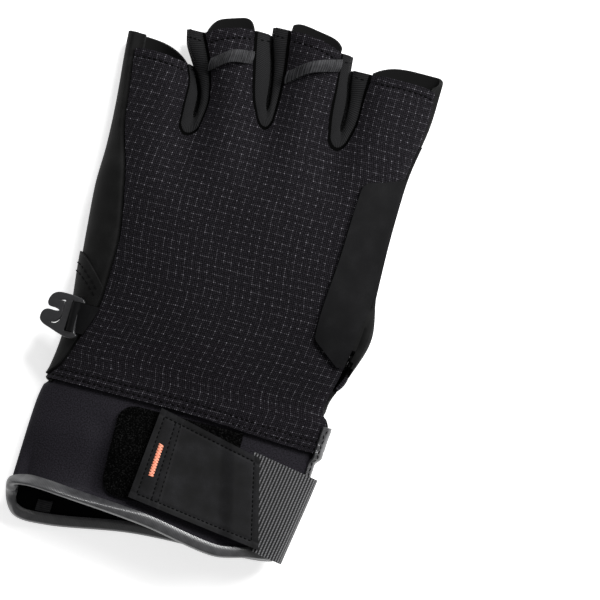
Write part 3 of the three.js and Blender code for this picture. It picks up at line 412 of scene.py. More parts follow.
def wall_of(outer, inner, quads):
    """Closes an outer and an inner copy of a surface into one wall. The open edges are found as
    the quad sides that occur once, and each gets two narrow strips with a rounded middle."""
    sides = np.concatenate([quads[:, [k, (k + 1) % 4]] for k in range(4)])
    key = sides.min(1) * len(outer) + sides.max(1)
    _, back_to, count = np.unique(key, return_inverse=True, return_counts=True)
    rim = sides[count[back_to] == 1]
    edge = np.unique(rim)
    number = len(outer)
    through = outer - inner
    outward = np.zeros_like(outer)
    push = np.cross(outer[rim[:, 1]] - outer[rim[:, 0]], through[rim[:, 0]])
    push /= np.maximum(np.linalg.norm(push, axis=1, keepdims=True), 1e-9)
    np.add.at(outward, rim[:, 0], push)
    np.add.at(outward, rim[:, 1], push)
    outward /= np.maximum(np.linalg.norm(outward, axis=1, keepdims=True), 1e-9)
    thick = np.linalg.norm(through[edge], axis=1, keepdims=True)
    middle = (outer[edge] + inner[edge]) / 2 + rim_bulge * thick * outward[edge]
    at = np.full(number, -1)
    at[edge] = 2 * number + np.arange(len(edge))
    a, b = rim[:, 0], rim[:, 1]
    strips = [np.stack([b, a, at[a], at[b]], 1), np.stack([at[b], at[a], number + a, number + b], 1)]
    points = np.concatenate([outer, inner, middle])
    return points, np.concatenate([quads, number + quads[:, ::-1], *strips]), edge


def dress(piece, quads, lining=None, edging=None):
    """Gives the inner faces of a wall a second material, and its rim a third one."""
    number = np.arange(len(piece.data.polygons))
    inside = (number >= len(quads)) & (number < 2 * len(quads))
    places = np.zeros(len(number), np.int32)
    for extra, belongs in ((lining, inside), (edging, number >= 2 * len(quads))):
        if extra:
            piece.data.materials.append(extra)
            places[belongs] = len(piece.data.materials) - 1
    piece.data.polygons.foreach_set("material_index", places)


def cloth(name, turn, y, level, wall, quads, finish, nodes, slot, lay=None, crease=50):
    """A wall on the glove's skin from the turn, y and outer level of each point."""
    level = np.broadcast_to(level, turn.shape)
    outer, inner = skin(turn, y, level), skin(turn, y, level - wall)
    points, faces, edge = wall_of(outer, inner, quads)
    if lay is None:
        lay = np.stack([girth(turn, y), y, 0 * y], -1)
    return show(name, points, [faces], np.concatenate([lay, lay, lay[edge]]), finish, nodes, crease)


def left_seam(y):
    """Turn of the little-finger side seam, counted as positive."""
    return np.arccos(-follow(seams, 1, station(y)))


def right_seam(y):
    """Turn of the thumb side seam, counted as positive."""
    return np.arccos(-follow(seams, 2, station(y)))


def slot_side(k, side, v):
    """x and y on a slot's side at a share v of the way from its foot to its mouth."""
    rows = slots[k][side]
    at = mix(rows[0, 0], rows[-1, 0], v)
    return follow(rows, 1, at) * palm_half, at * hand_length


def slot_foot(k, t):
    """x and y round the foot of a slot, a parabola from its left side to its right."""
    rows_left, rows_right, root = slots[k]["left"], slots[k]["right"], slots[k]["root"]
    x = np.where(t < 0.5, mix(rows_left[0, 1], root[1], 2 * t), mix(root[1], rows_right[0, 1], 2 * t - 1))
    rise = np.where(t < 0.5, rows_left[0, 0], rows_right[0, 0]) - root[0]
    return x * palm_half, (root[0] + rise * np.abs(2 * t - 1) ** 2.2) * hand_length


def finger_edge(finger, side, v):
    """Turn, counted as positive, and y on one edge of a finger: the side of a slot, or a side
    seam for the outer edges of the little finger and the index finger."""
    if finger == 0 and side == "left":
        y = mix(slots[0]["left"][0, 0], little_tip, v) * hand_length
        return left_seam(y), y
    if finger == 3 and side == "right":
        y = mix(slots[2]["right"][0, 0], index_tip, v) * hand_length
        return right_seam(y), y
    x, y = slot_side(finger - (side == "left"), "right" if side == "left" else "left", v)
    return turn_at(x, y), y


def comb(columns, foot, hand_rows, finger_rows, finger, row):
    """Points of a sheet shaped like a hand, as turn, y and level, with its quads. finger(k, v)
    gives the points of one row of a finger, foot(k) those round the foot of a slot, and
    row(root_row, v) a row of the palm at a share v of the way up from the wrist."""
    root_row = []
    starts = []
    for k in range(4):
        starts.append(sum(r.shape[1] for r in root_row))
        root_row.append(finger(k, 0.0))
        if k < 3:
            root_row.append(foot(k))
    root_row = np.concatenate(root_row, 1)
    width = root_row.shape[1]
    rows = [row(root_row, i / hand_rows) for i in range(hand_rows)]
    points = [*rows, root_row]
    quads = [grid(hand_rows + 1, width)]
    count = (hand_rows + 1) * width
    for k in range(4):
        size = columns[k]
        below = hand_rows * width + starts[k] + np.arange(size)
        for v in finger_rows[1:]:
            here = count + np.arange(size)
            points.append(finger(k, v))
            quads.append(np.stack([below[:-1], here[:-1], here[1:], below[1:]], -1))
            below = here
            count += size
    return np.concatenate(points, 1), np.concatenate(quads)


# How far each finger's leather stands out past its cloth back, as shares of the lip: at its
# left corner, its middle and its right corner
lips = [(1.2, 1.2, 0.1), (0.1, 1.15, 0.0), (0.6, 0.95, 0.5), (0.3, 1.2, -0.2)]
palm_columns = [46, 28, 28, 42]
lip_rows = 6
palm_rows = np.concatenate([np.linspace(0, 1, 40), 1 + np.arange(1, lip_rows + 1) / lip_rows])
foot_steps = np.linspace(0, 1, 11)[1:-1]


tuck_rows = np.linspace(0, 150, 301)
left_reach = np.array([-seam_lap, 0.3, 1.4, 2.6])[:, None]
left_levels = np.array([tuck_level, tuck_level, -0.35, 0.0])
left_table = slide(-left_seam(tuck_rows), tuck_rows, left_reach)
right_reach = np.array([-4.4, -3.4, -2.6, -0.4, seam_lap])[:, None]
right_levels = np.array([0, -0.5, tuck_level, tuck_level, tuck_level])
slit_edge = slide(np.pi - slit_half_angle, tuck_rows, np.array([-4.8, -3.6, -2.4, -1.2, 0])[:, None])
right_table = mix(slit_edge, slide(2 * np.pi - right_seam(tuck_rows), tuck_rows, right_reach),
                  smooth(slit_length, slit_blend, tuck_rows))


def left_tuck(y):
    """Turns of the leather's last four points at the little-finger seam: it dips under the
    cloth."""
    return np.stack([np.interp(y, tuck_rows, row) for row in left_table])


def right_tuck(y):
    """Turns of the leather's last five points at the thumb side, with a channel for the
    piping. Below the slit's top they stop at the slit's lower edge."""
    return np.stack([np.interp(y, tuck_rows, row) for row in right_table]), smooth(slit_length, slit_blend, y)


def palm_finger(k, v):
    """One row of a finger's underside. Past share 1 it runs on into the rounded lip."""
    reach, lip = min(v, 1), max(v - 1, 0) * fingertip_lip
    (low_turn, low_y), (high_turn, high_y) = finger_edge(k, "left", reach), finger_edge(k, "right", reach)
    parts, levels = [], []
    start, end = low_turn, high_turn
    if k == 0:
        tuck = left_tuck(np.array(low_y))
        start, parts, levels = tuck[3], [tuck[:3]], [left_levels[:3]]
    if k == 3:
        tuck, joined = right_tuck(np.array(high_y))
        end = tuck[0]
    count = palm_columns[k] - (3 if k == 0 else 4 if k == 3 else 0)
    u = np.linspace(0, 1, count)
    parts.append(mix(start, end, u))
    levels.append(0 * u)
    if k == 3:
        parts.append(tuck[1:])
        levels.append(right_levels[1:] * joined)
    turn, level = np.concatenate(parts), np.concatenate(levels)
    u = np.linspace(0, 1, len(turn))
    left, middle, right = lips[k]
    y = mix(low_y, high_y, u) + lip * mix(middle, mix(left, right, u), np.abs(2 * u - 1) ** 5)
    return np.stack([turn, y, level])


def palm_foot(k):
    """Points of the leather round the foot of a slot."""
    x, y = slot_foot(k, foot_steps)
    return np.stack([turn_at(x, y), y, 0 * y])


def palm_row(root_row, v):
    """A row across the palm: its ends are tucked, and between them the turns are shared out as
    in the row at the fingers' roots."""
    y = v * root_row[1]
    low = left_tuck(y[:4])
    high, joined = right_tuck(y[-5:])
    turn = root_row[0].copy()
    share = (turn[3:-4] - turn[3]) / (turn[-5] - turn[3])
    turn[3:-4] = mix(left_tuck(y[3:-4])[3], right_tuck(y[3:-4])[0][0], share)
    turn[:3] = low[[0, 1, 2], [0, 1, 2]]
    turn[-4:] = high[[1, 2, 3, 4], [1, 2, 3, 4]]
    level = root_row[2].copy()
    level[-4:] = right_levels[1:] * joined[1:]
    return np.stack([turn, y, level])


def thumb_hole(x, y):
    """Below 1 inside the thumb's hole: a rounded oblong that leans with the thumb."""
    dx, dy = x - thumb_root[0], y - thumb_root[1]
    along = (dx * thumb_axis[0] + dy * thumb_axis[1] + 1) / (thumb_root_length / 2 + seam_gap)
    across = (dx * thumb_side[0] + dy * thumb_side[1]) / (thumb_root_width / 2 + seam_gap)
    return (np.abs(along) ** 2.5 + np.abs(across) ** 2.5) ** 0.4


def leather_finish(name, colour, dark, light, grain=0.35, rough=0.7, level=0.1):
    """Microfibre synthetic leather, coagulated on a felt: matt, with a fine even grain, a soft
    mottle a few millimetres wide and a faint nap."""
    made, tree, shader = blank(name, Roughness=rough, Specular_IOR_Level=level)
    place = add(tree, "ShaderNodeTexCoord").outputs["Object"]
    mottle = add(tree, "ShaderNodeTexNoise", {"Vector": place, "Scale": 1 / (6 * mm), "Detail": 3.0})
    fine = add(tree, "ShaderNodeTexNoise", {"Vector": place, "Scale": 1 / (grain * mm), "Detail": 2.0})
    tone = add(tree, "ShaderNodeMix", {0: fine.outputs[0], 2: 0.25, 3: 0.75}, data_type="FLOAT")
    both = add(tree, "ShaderNodeMath", {0: mottle.outputs[0], 1: tone.outputs[0]}, operation="MULTIPLY")
    ramp = add(tree, "ShaderNodeValToRGB", {"Fac": both.outputs[0]})
    ramp.color_ramp.elements[0].position, ramp.color_ramp.elements[1].position = 0.1, 0.42
    ramp.color_ramp.elements[0].color, ramp.color_ramp.elements[1].color = linear(dark), linear(light)
    middle = ramp.color_ramp.elements.new(0.25)
    middle.color = linear(colour)
    tree.links.new(ramp.outputs[0], shader.inputs["Base Color"])
    bump = add(tree, "ShaderNodeBump", {"Height": both.outputs[0], "Strength": 0.35, "Distance": 0.12 * mm})
    tree.links.new(bump.outputs[0], shader.inputs["Normal"])
    return made


palm_finish = leather_finish("microfibre_palm_leather", "#121212", "#0c0c0c", "#1b1b1b")
points, quads = comb(palm_columns, palm_foot, 105, palm_rows, palm_finger, palm_row)
# The hole is cut in the palm alone: points nearer than a turn of 1.2 lie on the side
ring = thumb_hole(*loop(points[0], points[1])[:, :2].T) + 9 * (points[0] < 1.2)
quads = quads[(ring[quads] >= 1).any(1)]
near = np.zeros(len(ring), bool)
near[quads] = True
inside = near & (ring < 1)
plan = loop(points[0], points[1])[:, :2] - (thumb_root - thumb_axis)
plan[inside] /= ring[inside, None]
plan += thumb_root - thumb_axis
points[0, inside], points[1, inside] = turn_at(plan[inside, 0], plan[inside, 1]), plan[inside, 1]
used = np.unique(quads)
renumber = np.zeros(len(ring), int)
renumber[used] = np.arange(len(used))
points, quads = points[:, used], renumber[quads]
felt_finish, _, _ = blank("leather_felt_back", Base_Color=linear("#161616"), Roughness=0.95,
                          Specular_IOR_Level=0.02)
palm_piece = cloth("palm_skin", *points, palm_wall, quads, palm_finish, ["palm_leather"], "leather")
dress(palm_piece, quads, felt_finish)


# Heel overlay and two palm patches: a second layer of the same leather, laid on the palm
# where a cable rubs and sewn down with a double row of lockstitch near the edge.
def speckled_finish(name, grain, detail, dark, light, rough, shine):
    """Thread or moulded plastic, which shows no pattern but a soft change of tone over a grain in
    millimetres, between a dark and a light colour."""
    made, tree, shader = blank(name, Roughness=rough, Specular_IOR_Level=shine)
    place = add(tree, "ShaderNodeTexCoord").outputs["Object"]
    noise = add(tree, "ShaderNodeTexNoise", {"Vector": place, "Scale": 1 / (grain * mm), "Detail": detail})
    tone = add(tree, "ShaderNodeMix", {0: noise.outputs[0], 6: linear(dark), 7: linear(light)},
               data_type="RGBA")
    tree.links.new(tone.outputs[2], shader.inputs["Base Color"])
    return made


# The thread is black, and its colour is set darker still to paint the shade of the stitch holes.
thread_with_hole_shade_finish = speckled_finish("black_thread_with_painted_hole_shade", 0.4, 1.0, "#030303", "#0d0d0e", 0.8, 0.05)

stitch_along = np.array([-0.5, -0.38, 0.0, 0.38, 0.5])
stitch_round = np.array([0.35, 0.85, 1.0, 0.85, 0.35])
stitch_sides = 6


def stitched(lines, pitch, length, width):
    """Short threads along lines: each line is a path in mm and the way up from the cloth at
    its points. A thread is five rings of six points, thick in the middle, whose ends dip into
    the cloth. All of them are set out at once from the middle, direction and way up."""
    points, faces = [], []
    count = 0
    angle = 2 * np.pi * np.arange(stitch_sides) / stitch_sides
    for path, rise in lines:
        run = np.concatenate([[0], np.cumsum(np.linalg.norm(np.diff(path, axis=0), axis=1))])
        number = max(int(run[-1] / pitch), 1)
        at = (np.arange(number) + 0.5) * run[-1] / number
        centre = np.stack([np.interp(at, run, path[:, k]) for k in range(3)], 1)
        ahead = np.stack([np.interp(at + 0.2, run, path[:, k]) for k in range(3)], 1)
        behind = np.stack([np.interp(at - 0.2, run, path[:, k]) for k in range(3)], 1)
        high = np.stack([np.interp(at, run, rise[:, k]) for k in range(3)], 1)
        high /= np.linalg.norm(high, axis=1, keepdims=True)
        along = ahead - behind
        along /= np.linalg.norm(along, axis=1, keepdims=True)
        side = np.cross(along, high)
        s = stitch_along[:, None] * length
        w = stitch_round[:, None] * np.cos(angle) * width / 2
        arch = width * (0.25 - 1.6 * stitch_along[:, None] ** 2)
        h = stitch_round[:, None] * np.sin(angle) * width / 2 + arch
        place = centre[:, None, None, :] + (s + 0 * w)[None, :, :, None] * along[:, None, None, :]
        place = place + w[None, :, :, None] * side[:, None, None, :]
        place = place + h[None, :, :, None] * high[:, None, None, :]
        points.append(place.reshape(-1, 3))
        rings = len(stitch_along)
        a = np.arange(rings - 1)[:, None] * stitch_sides + np.arange(stitch_sides)
        b = np.arange(rings - 1)[:, None] * stitch_sides + (np.arange(stitch_sides) + 1) % stitch_sides
        body = np.stack([a, b, b + stitch_sides, a + stitch_sides], -1).reshape(-1, 4)
        last = (rings - 1) * stitch_sides
        caps = np.array([[5, 4, 1, 0], [4, 3, 2, 1]])
        one = np.concatenate([body, caps, last + caps[:, ::-1]])
        faces.append((count + np.arange(number)[:, None, None] * rings * stitch_sides + one).reshape(-1, 4))
        count += number * rings * stitch_sides
    return np.concatenate(points), np.concatenate(faces)


def sew(name, lines, pitch, length, width, finish=None):
    """A piece made of all the threads along some lines."""
    points, faces = stitched(lines, pitch, length, width)
    return show(name, points, [faces], points, finish or thread_with_hole_shade_finish, crease=80)


def on_skin_line(turn, y, level):
    """A sewing line on the skin: its points, and the way up at each."""
    base = skin(turn, y, level)
    return base, skin(turn, y, level + 1.0) - base


def shares(rows, columns):
    """Two grids of shares from 0 to 1: v goes up the rows and u along the columns."""
    return np.meshgrid(np.linspace(0, 1, rows), np.linspace(0, 1, columns), indexing="ij")


heel_rows, heel_columns = 44, 52
v, u = shares(heel_rows, heel_columns)
slant_low, slant_high = 0.248 * hand_length, 0.325 * hand_length
slant_start = slide(-left_seam(slant_low), slant_low, 1)
heel_level, heel_wall = 0.95, 0.85


def heel(v, u):
    """Turn and y on the heel overlay: its upper edge slants down to the little-finger seam in
    a straight line across the side."""
    start_x, far_x = loop(slant_start, slant_low)[..., 0], loop(0, slant_low)[..., 0]
    x = loop(np.minimum(0, mix(slant_start, 1.3, u)), slant_low)[..., 0]
    side_top = mix(slant_low, slant_high, (start_x - x) / (start_x - far_x))
    y = mix(0.008 * hand_length, side_top - 0.06 * hand_length * smooth(0.5, 1, u), v)
    return mix(slide(-left_seam(y), y, 1), 1.3, u), y


turn, y = heel(v, u)
cloth("heel_patch", turn.ravel(), y.ravel(), heel_level, heel_wall, grid(heel_rows, heel_columns),
      palm_finish, ["heel_overlay"], "leather")
patch_rows, patch_columns = 30, 26
v, u = shares(patch_rows, patch_columns)


def centre_patch(v, u):
    """Turn and y on the centre patch, whose ends bow out."""
    y = hand_length * mix(0.34 + 0.03 * u, 0.62 - 0.05 * (2 * u - 1) ** 2, v)
    return turn_at(palm_half * mix(-0.62, -0.05, u), y), y


def index_patch(v, u):
    """Turn and y on the index patch, which runs out to the side."""
    y = hand_length * mix(0.7, 0.82 - 0.04 * (1 - u) ** 2, v)
    return mix(turn_at(0.64 * palm_half, y), 2.75, u), y


turn, y = centre_patch(v, u)
cloth("palm_patch", turn.ravel(), y.ravel(), patch_top, patch_wall, grid(patch_rows, patch_columns),
      palm_finish, ["palm_patch_centre"], "leather")
turn, y = index_patch(v, u)
cloth("index_patch", turn.ravel(), y.ravel(), patch_top, patch_wall, grid(patch_rows, patch_columns),
      palm_finish, ["palm_patch_index"], "leather")


def frame_lines(where, inset_v, inset_u, level):
    """Four sewing lines that run inside the edge of a patch, by shares of its sides."""
    t = np.linspace(0, 1, 60)
    low_v, high_v = inset_v, 1 - inset_v
    low_u, high_u = inset_u, 1 - inset_u
    tv, tu = mix(low_v, high_v, t), mix(low_u, high_u, t)
    return [on_skin_line(*where(tv, low_u + 0 * t), level), on_skin_line(*where(tv, high_u + 0 * t), level),
            on_skin_line(*where(low_v + 0 * t, tu), level), on_skin_line(*where(high_v + 0 * t, tu), level)]


t = np.linspace(0.03, 0.97, 80)
palm_lines = []
# Rough sizes of the patches along and across, and of the heel, that turn an inset into a share
centre_size, index_size, heel_size = (36, 30), (15, 20), 34
for inset in (2.0, 4.2):
    palm_lines += frame_lines(centre_patch, inset / centre_size[0], inset / centre_size[1], patch_top)
    palm_lines += frame_lines(index_patch, inset / index_size[0], inset / index_size[1], patch_top)
    palm_lines.append(on_skin_line(*heel(1 - (inset + 1) / heel_size + 0 * t, t), heel_level))
sew("palm_stitches", palm_lines, 2.4, 1.8, 0.5)


# Thumb: leather on its palm side with a lip at the open tip, ripstop cloth on its outer side.
# Both halves leave the palm's hole, fold forward under the palm and end in an open mouth.
thumb_wall, thumb_lip = 1.2, 4
hinge_reach = thumb_root_length / 2 - 0.2


def ring_share(value):
    """A sine or cosine with its curve squared up a little, for a rounded oblong."""
    return np.sign(value) * np.abs(value) ** 0.8


def thumb_plan(along, across):
    """x and y at a distance along the thumb from its root and across it."""
    return thumb_root + along[..., None] * thumb_axis + across[..., None] * thumb_side


def thumb_point(along, ring):
    """The thumb's surface: below 0 its root at the palm's hole, 0 to 1 a quarter turn about the
    hinge, over 1 the straight run to the tip. ring is the angle round it."""
    along, ring = np.broadcast_arrays(np.asarray(along, float), np.asarray(ring, float))
    c, s = (1 - ring_share(np.cos(ring))) / 2, ring_share(np.sin(ring))
    root = thumb_plan(hinge_reach - fold_radius - thumb_root_length * c, thumb_root_width / 2 * s)
    rim = loop(turn_at(root[..., 0], root[..., 1]), root[..., 1])
    rim[..., 2] += np.where(along < -1.5, 0.8 * palm_wall, -0.3)
    hinge_z = thumb_height + fold_radius
    angle = np.clip(along, 0, 1) * np.pi / 2
    widen = mix(thumb_root_width, thumb_width, np.minimum(1, np.clip(along, 0, 1) * 1.6)) / 2
    deep = np.minimum(thumb_root_length, (hinge_z - fold_radius) / np.maximum(np.sin(angle), 0.01))
    radius = fold_radius + deep * c
    fold_plan = thumb_plan(hinge_reach - radius * np.cos(angle), widen * s)
    fold = np.concatenate([fold_plan, np.maximum(hinge_z - radius * np.sin(angle), 0)[..., None]], -1)
    run = along - 1
    taper = mix(1, 0.94, run)
    height = (hinge_z - fold_radius) * mix(1, 0.93, run)
    straight_plan = thumb_plan(hinge_reach + (thumb_length - hinge_reach) * run, thumb_width / 2 * taper * s)
    straight = np.concatenate([straight_plan, (height * (1 - c))[..., None]], -1)
    return np.where((along < 0)[..., None], rim, np.where((along <= 1)[..., None], fold, straight))


thumb_rows = np.concatenate([[-2, -1], np.linspace(0.08, 1, 24), np.linspace(1, 2, 34)[1:]])
thumb_seam, seam_step = 1.75, 0.17
thumb_tuck = thumb_wall + 1.5 * seam_gap


def thumb_half(name, rings, levels, rows, finish, nodes):
    """Half of the thumb's tube: each point is moved inwards by its level, and the wall lies
    inside it, along the surface's own normals."""
    a, r = np.meshgrid(rows, rings, indexing="ij")
    outer = thumb_point(a, r)
    inward = thumb_point(a, r + np.pi) - outer
    outer = outer + inward / np.linalg.norm(inward, axis=-1, keepdims=True) * levels[None, :, None]
    outer = outer.reshape(-1, 3)
    quads = grid(len(rows), len(rings))[:, ::-1]
    normal = surface_normals(outer, quads)
    points, faces, edge = wall_of(outer, outer - normal * thumb_wall, quads)
    lay = np.stack([(r * thumb_width / 3).ravel(), (a * 30).ravel(), 0 * a.ravel()], -1)
    return show(name, points, [faces], np.concatenate([lay, lay, lay[edge]]), finish, nodes)


def ripstop_finish(name):
    """Ripstop cloth, stretch nylon woven in fine cells. Every 2.7 mm both ways runs a thicker
    light thread that comes up at every fourth of that length: the eye sees rows of pale dots,
    each of its own strength and brightest where two threads cross, on a dark uneven weave."""
    made, tree, shader = blank(name, Roughness=0.85, Specular_IOR_Level=0.06, Sheen_Weight=0.05,
                               Sheen_Roughness=0.5, Sheen_Tint=linear("#b8b4c0"))
    place = add(tree, "ShaderNodeAttribute", attribute_name="lay").outputs["Vector"]
    cell, knots = 2.7, 4
    drift = add(tree, "ShaderNodeTexNoise", {"Vector": place, "Scale": 0.12, "Detail": 2.0})
    moved = add(tree, "ShaderNodeVectorMath", {0: drift.outputs["Color"], 1: (0.5, 0.5, 0.5)},
                operation="SUBTRACT")
    bent = add(tree, "ShaderNodeVectorMath", {0: moved.outputs[0], 1: (0.8, 0.8, 0), 2: place},
               operation="MULTIPLY_ADD")
    parts = add(tree, "ShaderNodeSeparateXYZ", {0: bent.outputs[0]})

    def band(value, pitch, sharp):
        """1 on evenly spaced lines and 0 between, from the cosine raised to a power."""
        turns = add(tree, "ShaderNodeMath", {0: value, 1: 2 * np.pi / pitch}, operation="MULTIPLY")
        wave = add(tree, "ShaderNodeMath", {0: turns.outputs[0]}, operation="COSINE")
        half = add(tree, "ShaderNodeMath", {0: wave.outputs[0], 1: 0.5, 2: 0.5}, operation="MULTIPLY_ADD")
        return add(tree, "ShaderNodeMath", {0: half.outputs[0], 1: sharp}, operation="POWER").outputs[0]

    x, y = parts.outputs[0], parts.outputs[1]
    column, row = band(x, cell, 30.0), band(y, cell, 30.0)
    knot_x, knot_y = band(x, cell / knots, 1.5), band(y, cell / knots, 1.5)
    counted = add(tree, "ShaderNodeVectorMath", {0: bent.outputs[0], 1: (knots / cell, knots / cell, 0),
                                                 2: (0.5, 0.5, 0)}, operation="MULTIPLY_ADD")
    number = add(tree, "ShaderNodeVectorMath", {0: counted.outputs[0]}, operation="FLOOR")
    chance = add(tree, "ShaderNodeTexWhiteNoise", {"Vector": number.outputs[0]}, noise_dimensions="2D")
    strength = add(tree, "ShaderNodeMapRange", {0: chance.outputs[0], 1: 0.35, 2: 1.0, 3: 0.0, 4: 0.56})
    upright = add(tree, "ShaderNodeMath", {0: column, 1: knot_y}, operation="MULTIPLY")
    lines = add(tree, "ShaderNodeMath", {0: row, 1: knot_x, 2: upright.outputs[0]}, operation="MULTIPLY_ADD")
    dots = add(tree, "ShaderNodeMath", {0: lines.outputs[0], 1: strength.outputs[0]}, operation="MULTIPLY")
    both = add(tree, "ShaderNodeMath", {0: column, 1: row}, operation="MULTIPLY")
    crossing = add(tree, "ShaderNodeMath", {0: both.outputs[0], 1: 0.6}, operation="MULTIPLY")
    light = add(tree, "ShaderNodeMath", {0: dots.outputs[0], 1: 0.8, 2: crossing.outputs[0]},
                operation="MULTIPLY_ADD")
    speck = add(tree, "ShaderNodeTexNoise", {"Vector": place, "Scale": 1.7, "Detail": 3.0, "Roughness": 0.75})
    basket = add(tree, "ShaderNodeMath", {0: band(x, cell / knots, 1.0), 1: band(y, cell / knots, 1.0)},
                 operation="MULTIPLY")
    uneven = add(tree, "ShaderNodeMath", {0: basket.outputs[0], 1: 0.35, 2: speck.outputs[0]},
                 operation="MULTIPLY_ADD")
    ground = add(tree, "ShaderNodeMapRange", {0: uneven.outputs[0], 1: 0.5, 2: 0.95})
    base = add(tree, "ShaderNodeMix", {0: ground.outputs[0], 6: linear("#070608"), 7: linear("#2b292e")},
               data_type="RGBA")
    shade = add(tree, "ShaderNodeMix", {0: light.outputs[0], 6: base.outputs[2], 7: linear("#77757b")},
                data_type="RGBA")
    tree.links.new(shade.outputs[2], shader.inputs["Base Color"])
    threads = add(tree, "ShaderNodeMath", {0: row, 1: column}, operation="ADD")
    raised = add(tree, "ShaderNodeMath", {0: threads.outputs[0], 1: 0.4}, operation="MULTIPLY")
    height = add(tree, "ShaderNodeMath", {0: speck.outputs[0], 1: 0.9, 2: raised.outputs[0]},
                 operation="MULTIPLY_ADD")
    bump = add(tree, "ShaderNodeBump", {"Height": height.outputs[0], "Strength": 0.5, "Distance": 0.25 * mm})
    tree.links.new(bump.outputs[0], shader.inputs["Normal"])
    return made


cloth_finish = ripstop_finish("ripstop_stretch_cloth")
leather_rings = np.linspace(-1, 1, 41)
leather_levels = np.interp(np.abs(leather_rings), [0.8, 0.93], [0, thumb_tuck])
lip_end = 2 + thumb_lip / (thumb_length - hinge_reach)
thumb_half("thumb_leather", leather_rings * (thumb_seam + seam_step), leather_levels,
           np.append(thumb_rows, np.linspace(2, lip_end, 5)[1:]), palm_finish, ["thumb_palm"])
back_rings = np.linspace(thumb_seam, 2 * np.pi - thumb_seam, 41)
thumb_half("thumb_cloth", back_rings, 0 * back_rings, thumb_rows, cloth_finish, ["thumb_back"])


# Finger gussets: strips of ribbed stretch cloth sewn round the three slots, from under the
# back to under the palm. Each bulges towards the gap, so that its two sides nearly meet.
gusset_wall, open_gap, shut_gap, web_rise = 1.0, 1.5, -0.2, 7
# A wave texture has one band per unit at this scale
wave_scale = 0.314


def twill_finish(name):
    """Stretch twill, a knitted-back weave with fine slanting ribs: drawn 0.75 mm apart, a
    little coarser than the real ones, so that they show. Matt, with a weak sheen."""
    made, tree, shader = blank(name, Roughness=0.75, Specular_IOR_Level=0.08, Sheen_Weight=0.06,
                               Sheen_Roughness=0.4, Sheen_Tint=linear("#c8c8c8"))
    place = add(tree, "ShaderNodeAttribute", attribute_name="lay").outputs["Vector"]
    turned = add(tree, "ShaderNodeMapping", {"Vector": place, "Rotation": (0, 0, 0.5)})
    rib = add(tree, "ShaderNodeTexWave",
              {"Vector": turned.outputs[0], "Scale": wave_scale / 0.75, "Distortion": 0.4, "Detail": 1.0,
               "Detail Scale": 2.0}, bands_direction="Y")
    mottle = add(tree, "ShaderNodeTexNoise", {"Vector": place, "Scale": 0.5, "Detail": 3.0})
    tone = add(tree, "ShaderNodeMix", {0: rib.outputs["Fac"], 6: linear("#070708"), 7: linear("#272728")},
               data_type="RGBA")
    worn = add(tree, "ShaderNodeMix", {0: mottle.outputs[0], 6: tone.outputs[2], 7: linear("#1a1a1b")},
               data_type="RGBA")
    tree.links.new(worn.outputs[2], shader.inputs["Base Color"])
    bump = add(tree, "ShaderNodeBump", {"Height": rib.outputs["Fac"], "Strength": 0.5, "Distance": 0.2 * mm})
    tree.links.new(bump.outputs[0], shader.inputs["Normal"])
    return made


gusset_finish = twill_finish("stretch_twill")
gusset_columns = 31


def gusset_rim(k, s):
    """x, y and side along the rim of a slot: down its left side for s from 0 to 1, round the
    foot up to 2, and up its right side to 3. side goes from -1 to 1."""
    left_x, left_y = slot_side(k, "left", np.clip(1 - s, 0, 1))
    foot_x, foot_y = slot_foot(k, np.clip(s - 1, 0, 1))
    right_x, right_y = slot_side(k, "right", np.clip(s - 2, 0, 1))
    x = np.where(s < 1, left_x, np.where(s < 2, foot_x, right_x))
    y = np.where(s < 1, left_y, np.where(s < 2, foot_y, right_y))
    return x, y, np.clip(2 * (s - 1.5), -1, 1)
